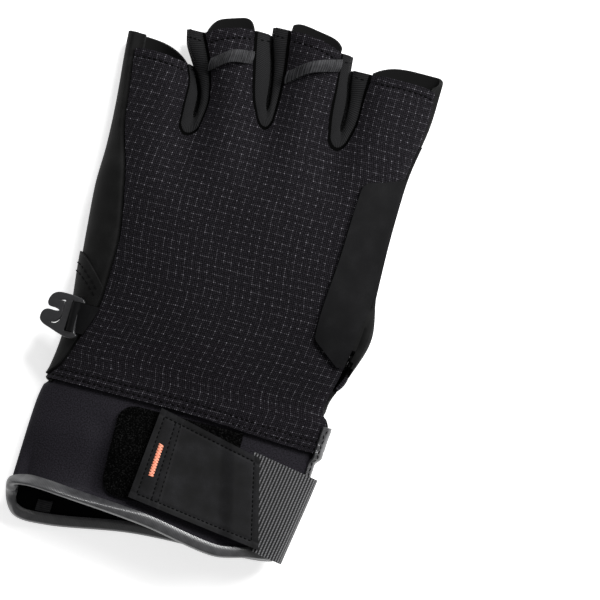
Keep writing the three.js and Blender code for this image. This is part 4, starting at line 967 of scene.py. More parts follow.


# Painted shade: a near-black matt material for the shadow lines along the back panel's edges, the gussets'
# seams and the clip strip's rim, and for the shaded inside of the back panel and the clip strip.
painted_shade_finish, _, _ = blank("painted_shade_near_black", Base_Color=linear("#050505"), Roughness=0.9,
                              Specular_IOR_Level=0.02)
gusset_lines = []
rim_steps = np.concatenate([np.linspace(0, 1, 42), np.linspace(1, 2, 15)[1:-1], np.linspace(2, 3, 42)])
for k in range(3):
    x, y, side = gusset_rim(k, rim_steps)
    root_y = slots[k]["root"][0] * hand_length
    mouth = np.where(side < 0, slots[k]["left"][-1, 0], slots[k]["right"][-1, 0]) * hand_length
    inner_y = mix(root_y + web_rise, mouth, np.clip((y - root_y) / (mouth - root_y), 0, 1))
    gap_x = follow(gap_lines, k + 1, station(inner_y)) * palm_half
    away = np.stack([gap_x - x, inner_y - y], -1)
    away /= np.linalg.norm(away, axis=1, keepdims=True)
    tucked = np.stack([x, y], -1) - seam_lap * away
    edge_x, edge_y = x + 0.4 * away[:, 0], y + 0.4 * away[:, 1]
    under = -(palm_wall + 2 * seam_gap)
    top = skin(-turn_at(edge_x, edge_y), edge_y, tuck_level)
    low = skin(turn_at(edge_x, edge_y), edge_y, under)
    top_tuck = skin(-turn_at(tucked[:, 0], tucked[:, 1]), tucked[:, 1], tuck_level)
    low_tuck = skin(turn_at(tucked[:, 0], tucked[:, 1]), tucked[:, 1], under)
    angle = np.linspace(0, np.pi, gusset_columns)[:, None]
    inner_x = gap_x + side * mix(open_gap, shut_gap, smooth(0.5 * np.pi, 0.68 * np.pi, angle)) / 2
    bulge = np.minimum(1.25 * np.sin(angle), 1)
    bulge_x = mix(edge_x, inner_x, bulge)
    bulge_y = mix(edge_y, inner_y, bulge)
    bulge_z = mix(top[:, 2], low[:, 2], (1 - np.cos(angle)) / 2)
    strip = np.stack([bulge_x, bulge_y, bulge_z], -1)
    strip[0], strip[-1] = top, low
    strip = np.concatenate([top_tuck[None], strip, low_tuck[None]]).transpose(1, 0, 2)
    outer = strip.reshape(-1, 3)
    quads = grid(len(rim_steps), gusset_columns + 2)
    normal = surface_normals(outer, quads)
    points, faces, edge = wall_of(outer, outer - normal * gusset_wall, quads)
    run = np.cumsum(np.hypot(np.gradient(x), np.gradient(y)))[:, None] + np.zeros(gusset_columns + 2)
    across = np.linspace(0, 22, gusset_columns + 2) + 0 * run
    lay = np.stack([across.ravel(), run.ravel(), 0 * run.ravel()], -1)
    piece = show(f"gusset_{k + 1}", points, [faces], np.concatenate([lay, lay, lay[edge]]), gusset_finish,
                 [f"finger_gusset_{k + 1}"])
    # The two columns of quads beside the back panel's edge get the painted shade: a painted shadow line along
    # the seam.
    piece.data.materials.append(painted_shade_finish)
    seam = np.zeros(len(faces), np.int32)
    seam[:len(quads)] = np.arange(len(quads)) % (gusset_columns + 1) < 2
    piece.data.polygons.foreach_set("material_index", seam)
    for row in (4, len(rim_steps) - 5):
        gusset_lines.append((strip[row, 3:18], normal.reshape(strip.shape)[row, 3:18]))
sew("gusset_stitches", gusset_lines, 1.7, 1.2, 0.45)


# Back panel: ripstop cloth over the back of the hand and the four finger backs, one cut
# piece. Its edges are turned in; a double row of stitches holds it on the cuff, and a
# single row hems each finger.
back_columns = [28, 30, 30, 36]
back_finger_rows = np.linspace(0, 1, 64)
hem_insets = [4.2, 3.4, 3.4, 3.6]
finger_reach = 32


def back_finger(k, v):
    """One row of a finger's back, with a shallow groove at its hem's stitches."""
    (low_turn, low_y), (high_turn, high_y) = finger_edge(k, "left", v), finger_edge(k, "right", v)
    u = np.linspace(0, 1, back_columns[k])
    bow = 4 * u * (1 - u) * v * v * 0.007 * hand_length
    groove = -0.3 * np.exp(-(((1 - v) * finger_reach - hem_insets[k]) / 0.6) ** 2)
    return np.stack([-mix(low_turn, high_turn, u), mix(low_y, high_y, u) + bow, groove + 0 * u])


def back_foot(k):
    """Points of the back round the foot of a slot."""
    x, y = slot_foot(k, foot_steps)
    return np.stack([-turn_at(x, y), y, 0 * y])


def back_row(root_row, v):
    """A row across the back, from the wrist seam at share 0 to the fingers' roots at 1."""
    low, high = left_seam(root_row[1]), right_seam(root_row[1])
    share = (-root_row[0] - low) / (high - low)
    y = mix(wrist_line(loop(-mix(left_seam(0.0), right_seam(0.0), share), 0.0)[..., 0]), root_row[1], v)
    return np.stack([-mix(left_seam(y), right_seam(y), share), y, root_row[2]])


points, quads = comb(back_columns, back_foot, 130, back_finger_rows, back_finger, back_row)
back_piece = cloth("back_cloth", *points, back_wall, quads, cloth_finish, ["back_panel"], "ripstop")
# The back panel's inside and rim get the painted shade: near black inside the glove, and a painted shadow
# line along its edges.
dress(back_piece, quads, painted_shade_finish, painted_shade_finish)

t = np.linspace(0.015, 0.985, 200)
back_lines = []
for rise in (1.5, 3.9):
    y = rise + wrist_line(loop(-mix(left_seam(0.0), right_seam(0.0), t), 0.0)[..., 0])
    back_lines.append(on_skin_line(-mix(left_seam(y), right_seam(y), t), y, 0.05))
for k, inset in enumerate(hem_insets):
    u = np.linspace(0.04, 0.96, 60)
    share = 1 - inset / finger_reach
    (low_turn, low_y), (high_turn, high_y) = finger_edge(k, "left", share), finger_edge(k, "right", share)
    y = mix(low_y, high_y, u) + 4 * u * (1 - u)
    back_lines.append(on_skin_line(-mix(low_turn, high_turn, u), y, -0.2))
sew("back_stitches", back_lines, 2.0, 1.3, 0.62)


# Side patch: embossing leather, bare, sewn over the index-finger side of the back, with a
# thin leather piping in the seam beside it.
side_patch_rows = np.array([
    [0, 0.845, 0.203, 0.207], [0.08, 0.735, 0.235, 0.24], [0.14, 0.66, 0.262, 0.285],
    [0.55, 0.69, 0.47, 0.5], [0.93, 0.715, 0.64, 0.668], [1, 0.74, 0.662, 0.7]])
side_finish = leather_finish("smooth_embossed_leather", "#0f0f10", "#0b0b0c", "#161617", rough=0.62,
                             level=0.06)
rows, columns = 90, 26
v, u = shares(rows, columns)
left_y = follow(side_patch_rows, 2, v) * hand_length
right_y = follow(side_patch_rows, 3, v) * hand_length
y = mix(left_y, right_y, u)
start = turn_at(follow(side_patch_rows, 1, v) * palm_half, left_y)
end = slide(right_seam(right_y), right_y, -0.6)
turn = -mix(start, np.maximum(end, start + 0.03), u)
cloth("index_side_patch", turn.ravel(), y.ravel(), patch_top, patch_wall, grid(rows, columns), side_finish,
      ["side_patch"], "leather")


def tube(name, centre, across, rise, radius, sides, finish, nodes):
    """A round cord of one radius along a path, with closed ends."""
    angle = 2 * np.pi * np.arange(sides) / sides
    ring = np.cos(angle)[None, :, None] * across[:, None] + np.sin(angle)[None, :, None] * rise[:, None]
    ring = radius * ring
    points = (centre[:, None] + ring).reshape(-1, 3)
    number = len(centre)
    a = np.arange(number - 1)[:, None] * sides + np.arange(sides)
    b = np.arange(number - 1)[:, None] * sides + (np.arange(sides) + 1) % sides
    body = np.stack([a, b, b + sides, a + sides], -1).reshape(-1, 4)
    caps = np.stack([np.arange(sides)[::-1], (number - 1) * sides + np.arange(sides)])
    return show(name, points, [body, caps], points, finish, nodes, 60)


y = np.linspace(0.37, 0.79, 120) * hand_length
turn = slide(2 * np.pi - right_seam(y), y, -1.4)
centre = skin(turn, y, -0.25)
rise = skin(turn, y, 1.0) - centre
across = skin(slide(turn, y, 0.5), y, -0.25) - centre
rise /= np.linalg.norm(rise, axis=1, keepdims=True)
across /= np.linalg.norm(across, axis=1, keepdims=True)
tube("piping", centre, across, rise, 0.75, 10, side_finish, ["edge_piping"])


# Cuff: one strip of softshell, a dense knit bonded to a thin fleece, sewn under the hand's
# lower edge. It is open at a slit on the thumb side and its hem dips over the back.
hems = np.array([
    [-3.15, 0.92], [-2.5, 0.95], [-2.15, 0.995], [-1.57, 0.9], [-1.05, 0.852], [-0.5, 0.83],
    [0, 0.9], [0.45, 1.08], [0.9, 1.09], [1.57, 0.985], [2.3, 0.965], [3.15, 0.93]])
cuff_wall = 1.5
cuff_drop = palm_wall + seam_gap
slit_turn = np.pi - slit_half_angle


def hem_at(turn):
    """y of the hem at a turn, a smooth curve through the table."""
    return -follow(hems, 1, turn) * cuff_length


def softshell_finish(name):
    """Softshell, a dense fine knit with a slight blue-violet cast: too fine to see thread by
    thread, it shows as an even speckle, with a soft sheen where it turns to the light."""
    made, tree, shader = blank(name, Roughness=0.7, Specular_IOR_Level=0.1, Sheen_Weight=0.22,
                               Sheen_Roughness=0.3, Sheen_Tint=linear("#aeaec4"))
    place = add(tree, "ShaderNodeAttribute", attribute_name="lay").outputs["Vector"]
    speck = add(tree, "ShaderNodeTexNoise", {"Vector": place, "Scale": 2.2, "Detail": 2.0})
    tone = add(tree, "ShaderNodeMapRange", {0: speck.outputs[0], 1: 0.35, 2: 0.65})
    shade = add(tree, "ShaderNodeMix", {0: tone.outputs[0], 6: linear("#0e0d11"), 7: linear("#252329")},
                data_type="RGBA")
    tree.links.new(shade.outputs[2], shader.inputs["Base Color"])
    bump = add(tree, "ShaderNodeBump", {"Height": speck.outputs[0], "Strength": 0.25, "Distance": 0.15 * mm})
    tree.links.new(bump.outputs[0], shader.inputs["Normal"])
    return made


shell_finish = softshell_finish("bonded_softshell")
rows, columns = 56, 210
v, u = shares(rows, columns)
turn = mix(-slit_turn, slit_turn, u)
from_seam = np.abs(turn + left_seam(np.zeros(1)) + 0.03)
upper = mix(-seam_gap - 0.2, seam_lap, smooth(0.16, 0.22, from_seam))
y = mix(hem_at(turn), upper, v)
# The fleece lining is black, and its colour is set darker still as painted shade inside the cuff.
shaded_lining_finish, _, _ = blank("black_fleece_lining_with_painted_shade", Base_Color=linear("#0a0a0b"), Roughness=0.95,
                            Specular_IOR_Level=0.02)
quads = grid(rows, columns)
cuff_piece = cloth("cuff_cloth", turn.ravel(), y.ravel(), -cuff_drop, cuff_wall, quads, shell_finish,
                   ["cuff"], "softshell")
dress(cuff_piece, quads, shaded_lining_finish)


# Binding: grey nylon tape folded over the hem and up both edges of the slit, sewn through
# near its inner edge. It rolls into a soft edge that catches the light.
binding_width, binding_wall, binding_gap, slit_binding_width = 3, 0.8, 0.35, 3
cuff_inner = -cuff_drop - cuff_wall


def tape_finish(name, dark, light, rough, shine, pitch):
    """Grosgrain tape, woven nylon with fine cross ribs and a satin shine."""
    made, tree, shader = blank(name, Roughness=rough, Specular_IOR_Level=shine)
    place = add(tree, "ShaderNodeAttribute", attribute_name="lay").outputs["Vector"]
    rib = add(tree, "ShaderNodeTexWave",
              {"Vector": place, "Scale": wave_scale / pitch, "Distortion": 0.3, "Detail": 1.0,
               "Detail Scale": 1.5}, bands_direction="Y")
    mottle = add(tree, "ShaderNodeTexNoise", {"Vector": place, "Scale": 0.35, "Detail": 2.0})
    worn = add(tree, "ShaderNodeMath", {0: rib.outputs["Fac"], 1: 0.4, 2: mottle.outputs[0]},
               operation="MULTIPLY_ADD")
    tone = add(tree, "ShaderNodeMapRange", {0: worn.outputs[0], 1: 0.3, 2: 1.0})
    shade = add(tree, "ShaderNodeMix", {0: tone.outputs[0], 6: linear(dark), 7: linear(light)},
                data_type="RGBA")
    tree.links.new(shade.outputs[2], shader.inputs["Base Color"])
    bump = add(tree, "ShaderNodeBump", {"Height": rib.outputs["Fac"], "Strength": 0.3, "Distance": 0.12 * mm})
    tree.links.new(bump.outputs[0], shader.inputs["Normal"])
    return made


binding_finish = tape_finish("satin_binding_tape", "#222223", "#464648", 0.3, 0.9, 0.55)


def folded_tape(name, where, width, top_level, place, finish, nodes):
    """Tape folded over a cloth edge: a profile of level and inset, down the outside, round a
    half ellipse past the edge and up the inside, carried along the edge. The outside puffs up
    between its edge and the fold."""
    low = cuff_inner - binding_gap
    straight = np.linspace(width, 0, 7)
    bend = np.linspace(np.pi / 2, -np.pi / 2, 13)[1:-1]
    level_top = top_level + binding_gap
    middle, reach = (level_top + low) / 2, (level_top - low) / 2

    def side_of(offset, depth, puff):
        """One skin of the tape at an offset from the cloth's middle."""
        flat_top = np.stack([middle + reach + offset + puff * np.sin(np.pi * straight / width), straight], 0)
        flat_low = np.stack([middle - reach - offset - puff * np.sin(np.pi * straight[::-1] / width),
                             straight[::-1]], 0)
        round_edge = np.stack([middle + (reach + offset) * np.sin(bend), -depth * np.cos(bend)], 0)
        return np.concatenate([flat_top, round_edge, flat_low], 1)

    outer = side_of(binding_wall, binding_gap + binding_wall, 0.28)
    inner = side_of(0.0, binding_gap, 0.0)
    profile = np.concatenate([outer, inner[:, ::-1]], 1)
    number, sides = len(where), profile.shape[1]
    s = np.repeat(np.arange(number), sides)
    points = place(where[s], np.tile(profile[0], number), np.tile(profile[1], number))
    a = np.arange(number - 1)[:, None] * sides + np.arange(sides)
    b = np.arange(number - 1)[:, None] * sides + (np.arange(sides) + 1) % sides
    body = np.stack([a, b, b + sides, a + sides], -1).reshape(-1, 4)
    half = sides // 2
    j = np.arange(half - 1)
    cap = np.stack([j, j + 1, sides - 2 - j, sides - 1 - j], -1)
    last = (number - 1) * sides
    line = points.reshape(number, sides, 3)[:, 0]
    run = np.concatenate([[0], np.cumsum(np.linalg.norm(np.diff(line, axis=0), axis=1))])
    lay = np.stack([np.tile(profile[1], number), run[s], 0 * run[s]], -1)
    show(name, points, [np.concatenate([body, cap[:, ::-1], last + cap])], lay, finish, nodes)


folded_tape("hem_tape", np.linspace(-slit_turn, slit_turn, 260), binding_width, -cuff_drop,
            lambda turn, level, inset: skin(turn, hem_at(turn) + inset, level), binding_finish,
            ["hem_binding"])
slit_tape_level, slit_tape_step = -0.775, 1.025


def slit_step(rise, y):
    """How far the tape's outer side steps up as it passes from the cuff on to the hand."""
    return mix(-slit_tape_step, slit_tape_step, smooth(rise - 4, rise - 1, y))


def slit_place(edge, side, rise):
    """The rule that carries a tape's profile along one edge of the slit: its outer side steps up
    and its inner side, below a level of -2.5, stays."""
    def place(y, level, inset):
        """Points at a height, a level and an inset from the slit's edge."""
        stepped = np.where(level > -2.5, level + slit_step(rise, y), level)
        return skin(slide(edge, y, -side * inset), y, stepped)

    return place


for name, side, node in (("slit_tape_palm", 1, "slit_binding_palm"),
                         ("slit_tape_back", -1, "slit_binding_back")):
    edge = side * slit_turn
    low = hem_at(np.array(edge)) + binding_width + binding_gap
    rise = wrist_line(loop(edge, 0.0)[0]) if side < 0 else 0.0
    along = np.linspace(low, slit_length - 1.3, 70)
    folded_tape(name, along[::-1] if side < 0 else along, slit_binding_width, slit_tape_level,
                slit_place(edge, side, rise), binding_finish, [node])


y = np.linspace(low + 1, slit_length - 2, 60)
turn = slide(-slit_turn, y, 1.9 + 0.25 * np.sin(y * 1.9))
level = slit_tape_level + slit_step(rise, y) + 1.3
sew("slit_stitches", [on_skin_line(turn, y, level)], 1.9, 1.5, 0.5)


# Label: a short end of ribbed nylon tape inside the palm side of the cuff, sewn flat on the
# lining just above the hem's binding.
webbing_finish = tape_finish("ribbed_nylon_tape", "#060607", "#38383a", 0.6, 0.12, 0.7)
label_length, label_depth, label_wall, label_turn = 5.3, 4, 0.5, 0.72
rows, columns = 10, 12
v, u = shares(rows, columns)
turn = label_turn + u * (label_length / (0.66 * palm_half))
y = hem_at(turn) + binding_width + 0.4 + label_depth * v
cloth("inner_tape_label", turn.ravel(), y.ravel(), cuff_inner - seam_gap, label_wall, grid(rows, columns),
      webbing_finish, ["inner_label"], "webbing")


# Loop patch: the fuzzy half of the hook-and-loop fastening, knitted nylon loops, sewn flat
# on the back of the cuff. Its pile is drawn as a fine uneven surface with pale fibre ends.
loop_length, loop_width, loop_wall, loop_corner = 44, 0.708 * cuff_length, 1.0, 6
loop_left, loop_top = -0.48 * palm_half, -0.05 * cuff_length
fuzz_finish, fuzz_tree, fuzz_shader = blank("nylon_loop_pile", Roughness=0.95, Specular_IOR_Level=0.02)
fuzz_place = add(fuzz_tree, "ShaderNodeTexCoord")
fibre = add(fuzz_tree, "ShaderNodeTexNoise",
            {"Vector": fuzz_place.outputs["Object"], "Scale": 1 / (0.55 * mm), "Detail": 3.0,
             "Roughness": 0.75})
fibre_tone = add(fuzz_tree, "ShaderNodeMapRange", {0: fibre.outputs[0], 1: 0.52, 2: 0.72})
fibre_shade = add(fuzz_tree, "ShaderNodeMix",
                  {0: fibre_tone.outputs[0], 6: linear("#020202"), 7: linear("#222222")}, data_type="RGBA")
fuzz_tree.links.new(fibre_shade.outputs[2], fuzz_shader.inputs["Base Color"])
rows, columns = 90, 160
v, u = shares(rows, columns)
y = loop_top - loop_width * (1 - v)
past = np.maximum(loop_corner - np.minimum(v, 1 - v) * loop_width, 0)
x = mix(loop_left + loop_corner - np.sqrt(loop_corner**2 - past**2), loop_left + loop_length, u)
pile = 0.28 * rng.random(x.shape) * (u > 0.01) * (v > 0.02) * (v < 0.98)
level = (-cuff_drop + seam_gap + loop_wall + pile - 0.2).ravel()
turn, y = -turn_at(x, y).ravel(), y.ravel()
quads = grid(rows, columns)
points, faces, edge = wall_of(skin(turn, y, level), skin(turn, y, -cuff_drop + seam_gap), quads)
lay = np.stack([x.ravel(), y, 0 * y], -1)
show("loop_pile", points, [faces], np.concatenate([lay, lay, lay[edge]]), fuzz_finish, ["loop_patch"],
     80)


# Strap: 32 mm grey webbing, sewn to the palm side of the cuff, that comes round the thumb
# side and ends under a leather tab. Its ribs run across it, 1.1 mm apart.
strap_width, strap_wall, strap_lean = 0.711 * cuff_length, 1.2, 0.175
tab_length, tab_width, tab_wall = 43, 0.733 * cuff_length, 1.2
fold_y = np.array(-0.6 * cuff_length)
strap_origin = np.array([follow(sections, 2, station(fold_y)) * palm_half, fold_y])
strap_along = np.array([np.cos(strap_lean), -np.sin(strap_lean)])
strap_across = np.array([np.sin(strap_lean), np.cos(strap_lean)])


def strap_plan(d, w):
    """x and y at a distance d along the strap from its fold and w across it."""
    return (strap_origin[0] + d * strap_along[0] + w * strap_across[0],
            strap_origin[1] + d * strap_along[1] + w * strap_across[1])


def tab_end(w):
    """Where the tab ends along the strap: its end is cut at a slant."""
    return -14.5 - 0.42 * w


def strap_corner(turn, w):
    """The y at which the loop at this turn lies w across the strap, by repeated correction."""
    y = np.broadcast_to(fold_y, turn.shape)
    for _ in range(8):
        out = loop(turn, y)[..., 0] - strap_origin[0]
        y = strap_origin[1] + (w - out * strap_across[0]) / strap_across[1]
    return y


rib_pitch = 1.1
rows, columns = 34, 560
v, u = shares(rows, columns)
w = mix(-strap_width / 2, strap_width / 2, v)
under_x, under_y = strap_plan(tab_end(w) - 2, w)
start = -turn_at(under_x, under_y)
turn = mix(start, 1.92 - 2 * np.pi, u)
y = strap_corner(turn, w)
around = -turn
level = strap_wall + smooth(2.3, 2.9, around) * seam_gap - smooth(0.9, 1, u) * (seam_gap + strap_wall)
flat = loop(turn, y)
run = np.cumsum(np.linalg.norm(np.diff(flat, axis=1, prepend=flat[:, :1]), axis=-1), axis=1)
run = run + tab_end(w)
weave = 0.24 * np.cos(2 * np.pi * run / rib_pitch)
weave = weave + 0.07 * np.cos(2 * np.pi * w / 1.3 + np.pi * np.floor(run / rib_pitch))
selvedge = np.clip((strap_width / 2 - np.abs(w)) / 1.2, 0, 1) * (1 - smooth(2.2, 2.8, around))
turn, y, level = turn.ravel(), y.ravel(), (level + weave * selvedge).ravel()
outer, inner = skin(turn, y, level), skin(turn, y, (level - strap_wall - (weave * selvedge).ravel()))
points, faces, edge = wall_of(outer, inner, grid(rows, columns))
lay = np.stack([w.ravel(), run.ravel(), 0 * y], -1)


def webbing_weave_finish(name):
    """Ribbed nylon webbing: near black between the ribs, as painted shade in the grooves, and mid grey on
    them, where the thick weft shows in short slanting dashes."""
    made, tree, shader = blank(name, Roughness=0.55, Specular_IOR_Level=0.2)
    place = add(tree, "ShaderNodeAttribute", attribute_name="lay").outputs["Vector"]
    rib = add(tree, "ShaderNodeTexWave",
              {"Vector": place, "Scale": wave_scale / rib_pitch, "Distortion": 0.15}, bands_direction="Y",
              wave_profile="SIN")
    rib.inputs["Phase Offset"].default_value = np.pi / 2
    turned = add(tree, "ShaderNodeMapping", {"Vector": place, "Rotation": (0, 0, 0.6)})
    dash = add(tree, "ShaderNodeTexWave",
               {"Vector": turned.outputs[0], "Scale": wave_scale / 0.8, "Distortion": 0.4},
               bands_direction="X")
    both = add(tree, "ShaderNodeMath", {0: dash.outputs["Fac"], 1: 0.5, 2: 0.5}, operation="MULTIPLY_ADD")
    # Painted shade: where the ribs dip, the tone falls to near black.
    ridge = add(tree, "ShaderNodeMath", {0: rib.outputs["Fac"], 1: 1.8}, operation="POWER")
    tone = add(tree, "ShaderNodeMath", {0: both.outputs[0], 1: ridge.outputs[0]}, operation="MULTIPLY")
    shade = add(tree, "ShaderNodeMix", {0: tone.outputs[0], 6: linear("#020202"), 7: linear("#747476")},
                data_type="RGBA")
    tree.links.new(shade.outputs[2], shader.inputs["Base Color"])
    bump = add(tree, "ShaderNodeBump", {"Height": tone.outputs[0], "Strength": 0.4, "Distance": 0.2 * mm})
    tree.links.new(bump.outputs[0], shader.inputs["Normal"])
    return made


strap_finish = webbing_weave_finish("ribbed_nylon_webbing")
show("strap_band", points, [faces], np.concatenate([lay, lay, lay[edge]]), strap_finish, ["strap_webbing"],
     80)


# Strap tab: two layers of smooth synthetic leather sewn together round the edge, over the
# end of the webbing, with a turned strip at its free end that an orange bar tack marks.
def turned_strip(from_end):
    """The extra height of the turned strip at the tab's free end, in mm."""
    return 0.35 * (1 - smooth(9.6, 10.2, from_end))


def tab_place(v, u):
    """Turn, y and level on the tab, whose far end steps up over the webbing."""
    half = tab_width / 2 * mix(1, 0.89, u)
    w = mix(-half, half, v)
    d = mix(tab_end(0) - tab_length - 0.065 * w, tab_end(w), u)
    x, y = strap_plan(d, w)
    over = smooth(tab_end(w) - 15, tab_end(w) - 9, d)
    return -turn_at(x, y), y, 0.2 + tab_wall + over * (strap_wall + 0.2), w, d, half


tab_finish = leather_finish("smooth_tab_leather", "#1a1a1b", "#141414", "#232325", rough=0.62)
rows, columns = 80, 120
v, u = shares(rows, columns)
turn, y, level, w, d, half = tab_place(v, u)
from_end = u * tab_length
from_side = np.minimum(v, 1 - v) * 2 * half
groove = np.exp(-((from_side - 2.2) / 0.5) ** 2) + np.exp(-((from_end - 2.4) / 0.5) ** 2)
groove = groove + np.exp(-((from_end - 7.2) / 0.5) ** 2) + np.exp(-(((1 - u) * tab_length - 2.2) / 0.5) ** 2)
level = level - 0.16 * np.minimum(groove, 1) + turned_strip(from_end) - 0.1
cloth("tab_leather", turn.ravel(), y.ravel(), level.ravel(), tab_wall - 0.1, grid(rows, columns), tab_finish,
      ["strap_tab"], "leather", lay=np.stack([w.ravel(), d.ravel(), 0 * w.ravel()], -1))


def tab_line(v, u, lift=0.0):
    """A sewing line on the tab."""
    v, u = np.broadcast_arrays(np.asarray(v, float), np.asarray(u, float))
    turn, y, level, _, _, _ = tab_place(v, u)
    base = skin(turn, y, level + lift + turned_strip(u * tab_length) - 0.2)
    return base, skin(turn, y, level + 1.5) - base


t = np.linspace(0, 1, 120)
edge_v, edge_u = 2.2 / tab_width, 2.3 / tab_length
tab_lines = [tab_line(edge_v, mix(edge_u, 1 - edge_u, t)), tab_line(1 - edge_v, mix(edge_u, 1 - edge_u, t)),
             tab_line(mix(edge_v, 1 - edge_v, t), edge_u), tab_line(mix(edge_v, 1 - edge_v, t), 1 - edge_u),
             tab_line(mix(edge_v, 1 - edge_v, t), 7.2 / tab_length),
             tab_line(mix(edge_v, 1 - edge_v, t), 9.4 / tab_length)]
sew("tab_stitches", tab_lines, 1.6, 1.1, 0.4)

tack_finish = speckled_finish("bright_embroidery_thread", 0.5, 2.0, "#ff5c26", "#ffd2b4", 0.35, 0.5)
tack_rows = 24
tack_lines = []
for k in range(tack_rows):
    tack_v = mix(0.3, 0.64, k / (tack_rows - 1))
    reach = 1.5 if k == 0 else 0.85
    tack_u = (4.6 + np.linspace(-reach, reach, 6)) / tab_length
    tack_lines.append(tab_line(tack_v + 0.004 * (-1) ** k * np.linspace(-1, 1, 6), tack_u, 0.15))
sew("bar_tack", tack_lines, 9.0, 1.9, 0.6, tack_finish)


# Pull loops: grey grosgrain tape across the ring and middle fingers, sewn down at both ends
# and arched between, to pull the glove off by.
pull_wall, pull_rise, pull_width = 0.9, 2.4, 4.6
for name, start, end, node in (("ring_pull_loop", (-0.468, 0.857), (-0.215, 0.898), "pull_loop_ring"),
                               ("middle_pull_loop", (0.045, 0.872), (0.365, 0.936), "pull_loop_middle")):
    rows, columns = 12, 120
    v, u = shares(rows, columns)
    y = hand_length * mix(start[1], end[1], u) + pull_width * (v - 0.5) + 1.0 * np.sin(np.pi * u)
    x = palm_half * mix(start[0], end[0], u)
    rise = pull_rise * np.sin(np.pi * smooth(0.08, 0.92, u))
    level = seam_gap + pull_wall + rise - 0.45 * (2 * v - 1) ** 2 + 0.08 * np.cos(2 * np.pi * u * 16 / 1.2)
    lay = np.stack([(pull_width * v).ravel(), (16 * u).ravel(), 0 * u.ravel()], -1)
    cloth(name, -turn_at(x, y).ravel(), y.ravel(), level.ravel(), pull_wall, grid(rows, columns),
          webbing_finish, [node], "webbing", lay=lay)


# Clip: a leather tab sewn over the little-finger side, with a moulded plastic hook in its
# eye, by which the glove is hung up.
nylon_finish = speckled_finish("moulded_nylon", 1.5, 2.0, "#1a1a1c", "#2b2b2d", 0.3, 0.7)
clip_middle = 22.3
clip_rows = np.linspace(17.2, 27.7, 24)
eye_x, eye_z, eye_radius, eye_wall = -48.3, 21.6, 0.95, 0.9
hook_tilt = 0.4


def clip_path(y):
    """x and z of the clip tab's outer side at one y: out from the side seam, down the shoulder
    a little above the leather, round the eye and back under itself."""
    seam = -left_seam(y)
    reach = np.array([-0.6, 1.2, 3.0, 4.6])
    lift = np.array([0.7, 1.7, 2.5, 3.0])
    out = skin(slide(seam, y, reach), y, lift)[:, [0, 2]]
    angle = np.linspace(0.35 * np.pi, 1.5 * np.pi, 15)
    radius = eye_radius + eye_wall
    bend = np.stack([eye_x + radius * np.cos(angle), eye_z + radius * np.sin(angle)], 1)
    home = skin(slide(seam, y, np.array([4.4, 2.6])), y, np.array([1.35, 1.25]))[:, [0, 2]]
    return np.concatenate([out, bend, home])


plan = np.stack([clip_path(y) for y in clip_rows])
run = np.concatenate([[0], np.cumsum(np.hypot(*np.diff(plan[len(plan) // 2], axis=0).T))])
fine = np.linspace(0, run[-1], 60)
path = np.stack([np.stack([np.interp(fine, run, row[:, k]) for k in (0, 1)], 1) for row in plan])
path[:, 1:-1] = (path[:, :-2] + path[:, 1:-1] + path[:, 2:]) / 3
step = np.gradient(path, axis=1)
step /= np.linalg.norm(step, axis=-1, keepdims=True)
inner_path = path + eye_wall * np.stack([-step[..., 1], step[..., 0]], -1)
pinch = 1 - 0.03 * smooth(6, 12, fine)
clip_y = clip_middle + (clip_rows[:, None] - clip_middle) * pinch
outer = np.stack([path[..., 0], clip_y, path[..., 1]], -1).reshape(-1, 3)
inner = np.stack([inner_path[..., 0], clip_y, inner_path[..., 1]], -1).reshape(-1, 3)
quads = grid(len(clip_rows), len(fine))
points, faces, edge = wall_of(outer, inner, quads)
lay = np.stack([np.tile(fine, len(clip_rows)), clip_y.ravel(), 0 * clip_y.ravel()], -1)
strip_piece = show("clip_strip", points, [faces], np.concatenate([lay, lay, lay[edge]]), side_finish,
                   ["clip_tab"])
# The clip strip's inside and rim get the painted shade: a painted shadow round the tab.
dress(strip_piece, quads, painted_shade_finish, painted_shade_finish)

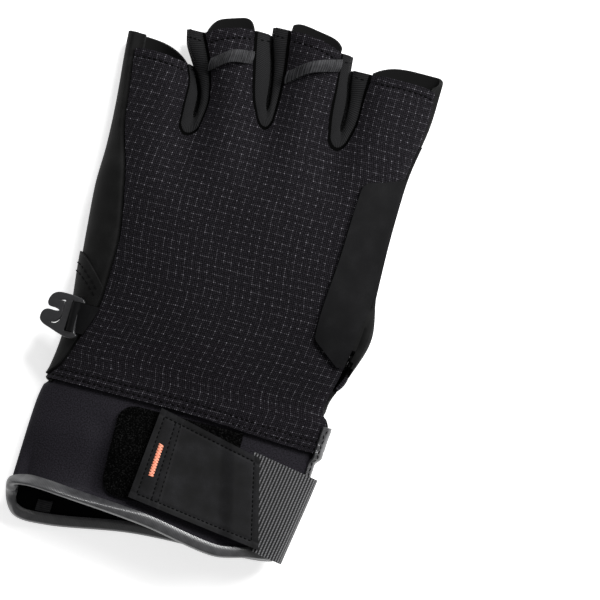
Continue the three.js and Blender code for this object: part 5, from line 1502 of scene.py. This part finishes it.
hook_outline = [
    (-47.2, 15.4), (-46.3, 16.2), (-47.2, 17.4), (-47.5, 22.0), (-47.2, 27.3), (-46.2, 27.8), (-46.8, 28.8),
    (-49.0, 29.3), (-52.6, 29.6), (-55.6, 29.4), (-57.4, 28.2), (-58.2, 26.0), (-57.6, 24.6), (-55.4, 24.4),
    (-53.9, 23.9), (-53.6, 23.2), (-55.2, 22.8), (-58.0, 22.8), (-59.4, 21.6), (-59.6, 19.4), (-58.2, 18.0),
    (-55.4, 17.0), (-52.2, 15.9), (-49.4, 15.2)]
hook_window = [(-50.3, 28.0), (-50.3, 26.0), (-50.7, 18.4), (-50.8, 16.9), (-49.6, 16.8), (-49.0, 18.2),
               (-48.8, 26.2), (-49.2, 28.0)]
hook_slot = [
    (-52.2, 27.6), (-54.5, 27.4), (-54.5, 26.7), (-52.9, 26.6), (-52.9, 24.2), (-53.0, 21.6), (-54.6, 19.6),
    (-56.2, 19.2), (-56.1, 18.5), (-53.9, 18.7), (-52.3, 20.8), (-52.1, 24.0)]


def smooth_ring(corners, per_side):
    """A closed cubic through the corners, whose slopes come from each corner's neighbours."""
    at = np.arange(-3, len(corners) + 4)
    ring = np.array([corners[k % len(corners)] for k in at])
    where = np.arange(len(corners) * per_side) / per_side
    table = np.column_stack([at, ring])
    return np.stack([follow(table, 1, where), follow(table, 2, where)], 1)


outline = bpy.data.curves.new("hook_outline", "CURVE")
outline.dimensions = "2D"
outline.fill_mode = "BOTH"
outline.extrude, outline.bevel_depth, outline.bevel_resolution = 0.4, 0.35, 3
for corners in (hook_outline, hook_window, hook_slot):
    ring = smooth_ring(corners, 5)
    spline = outline.splines.new("POLY")
    spline.points.add(len(ring) - 1)
    spline.points.foreach_set("co", np.column_stack([ring, 0 * ring[:, 0], 1 + 0 * ring[:, 0]]).ravel())
    spline.use_cyclic_u = True
holder = bpy.data.objects.new("hook_outline", outline)
scene.collection.objects.link(holder)
plate = bmesh.new()
plate.from_mesh(holder.to_mesh())
bmesh.ops.remove_doubles(plate, verts=plate.verts, dist=0.001)
bmesh.ops.triangulate(plate, faces=plate.faces)
flat = np.array([corner.co[:] for corner in plate.verts])
triangles = np.array([[corner.index for corner in face.verts] for face in plate.faces])
plate.free()
holder.to_mesh_clear()
bpy.data.objects.remove(holder)
bpy.data.curves.remove(outline)
out = (eye_x - flat[:, 0]) / np.cos(hook_tilt)
points = np.stack([eye_x - out * np.cos(hook_tilt) - flat[:, 2] * np.sin(hook_tilt), flat[:, 1],
                   eye_z - out * np.sin(hook_tilt) + flat[:, 2] * np.cos(hook_tilt)], -1)
show("hook_plate", points, [triangles], points, nylon_finish, ["clip_hook"], 60)


low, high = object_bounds()
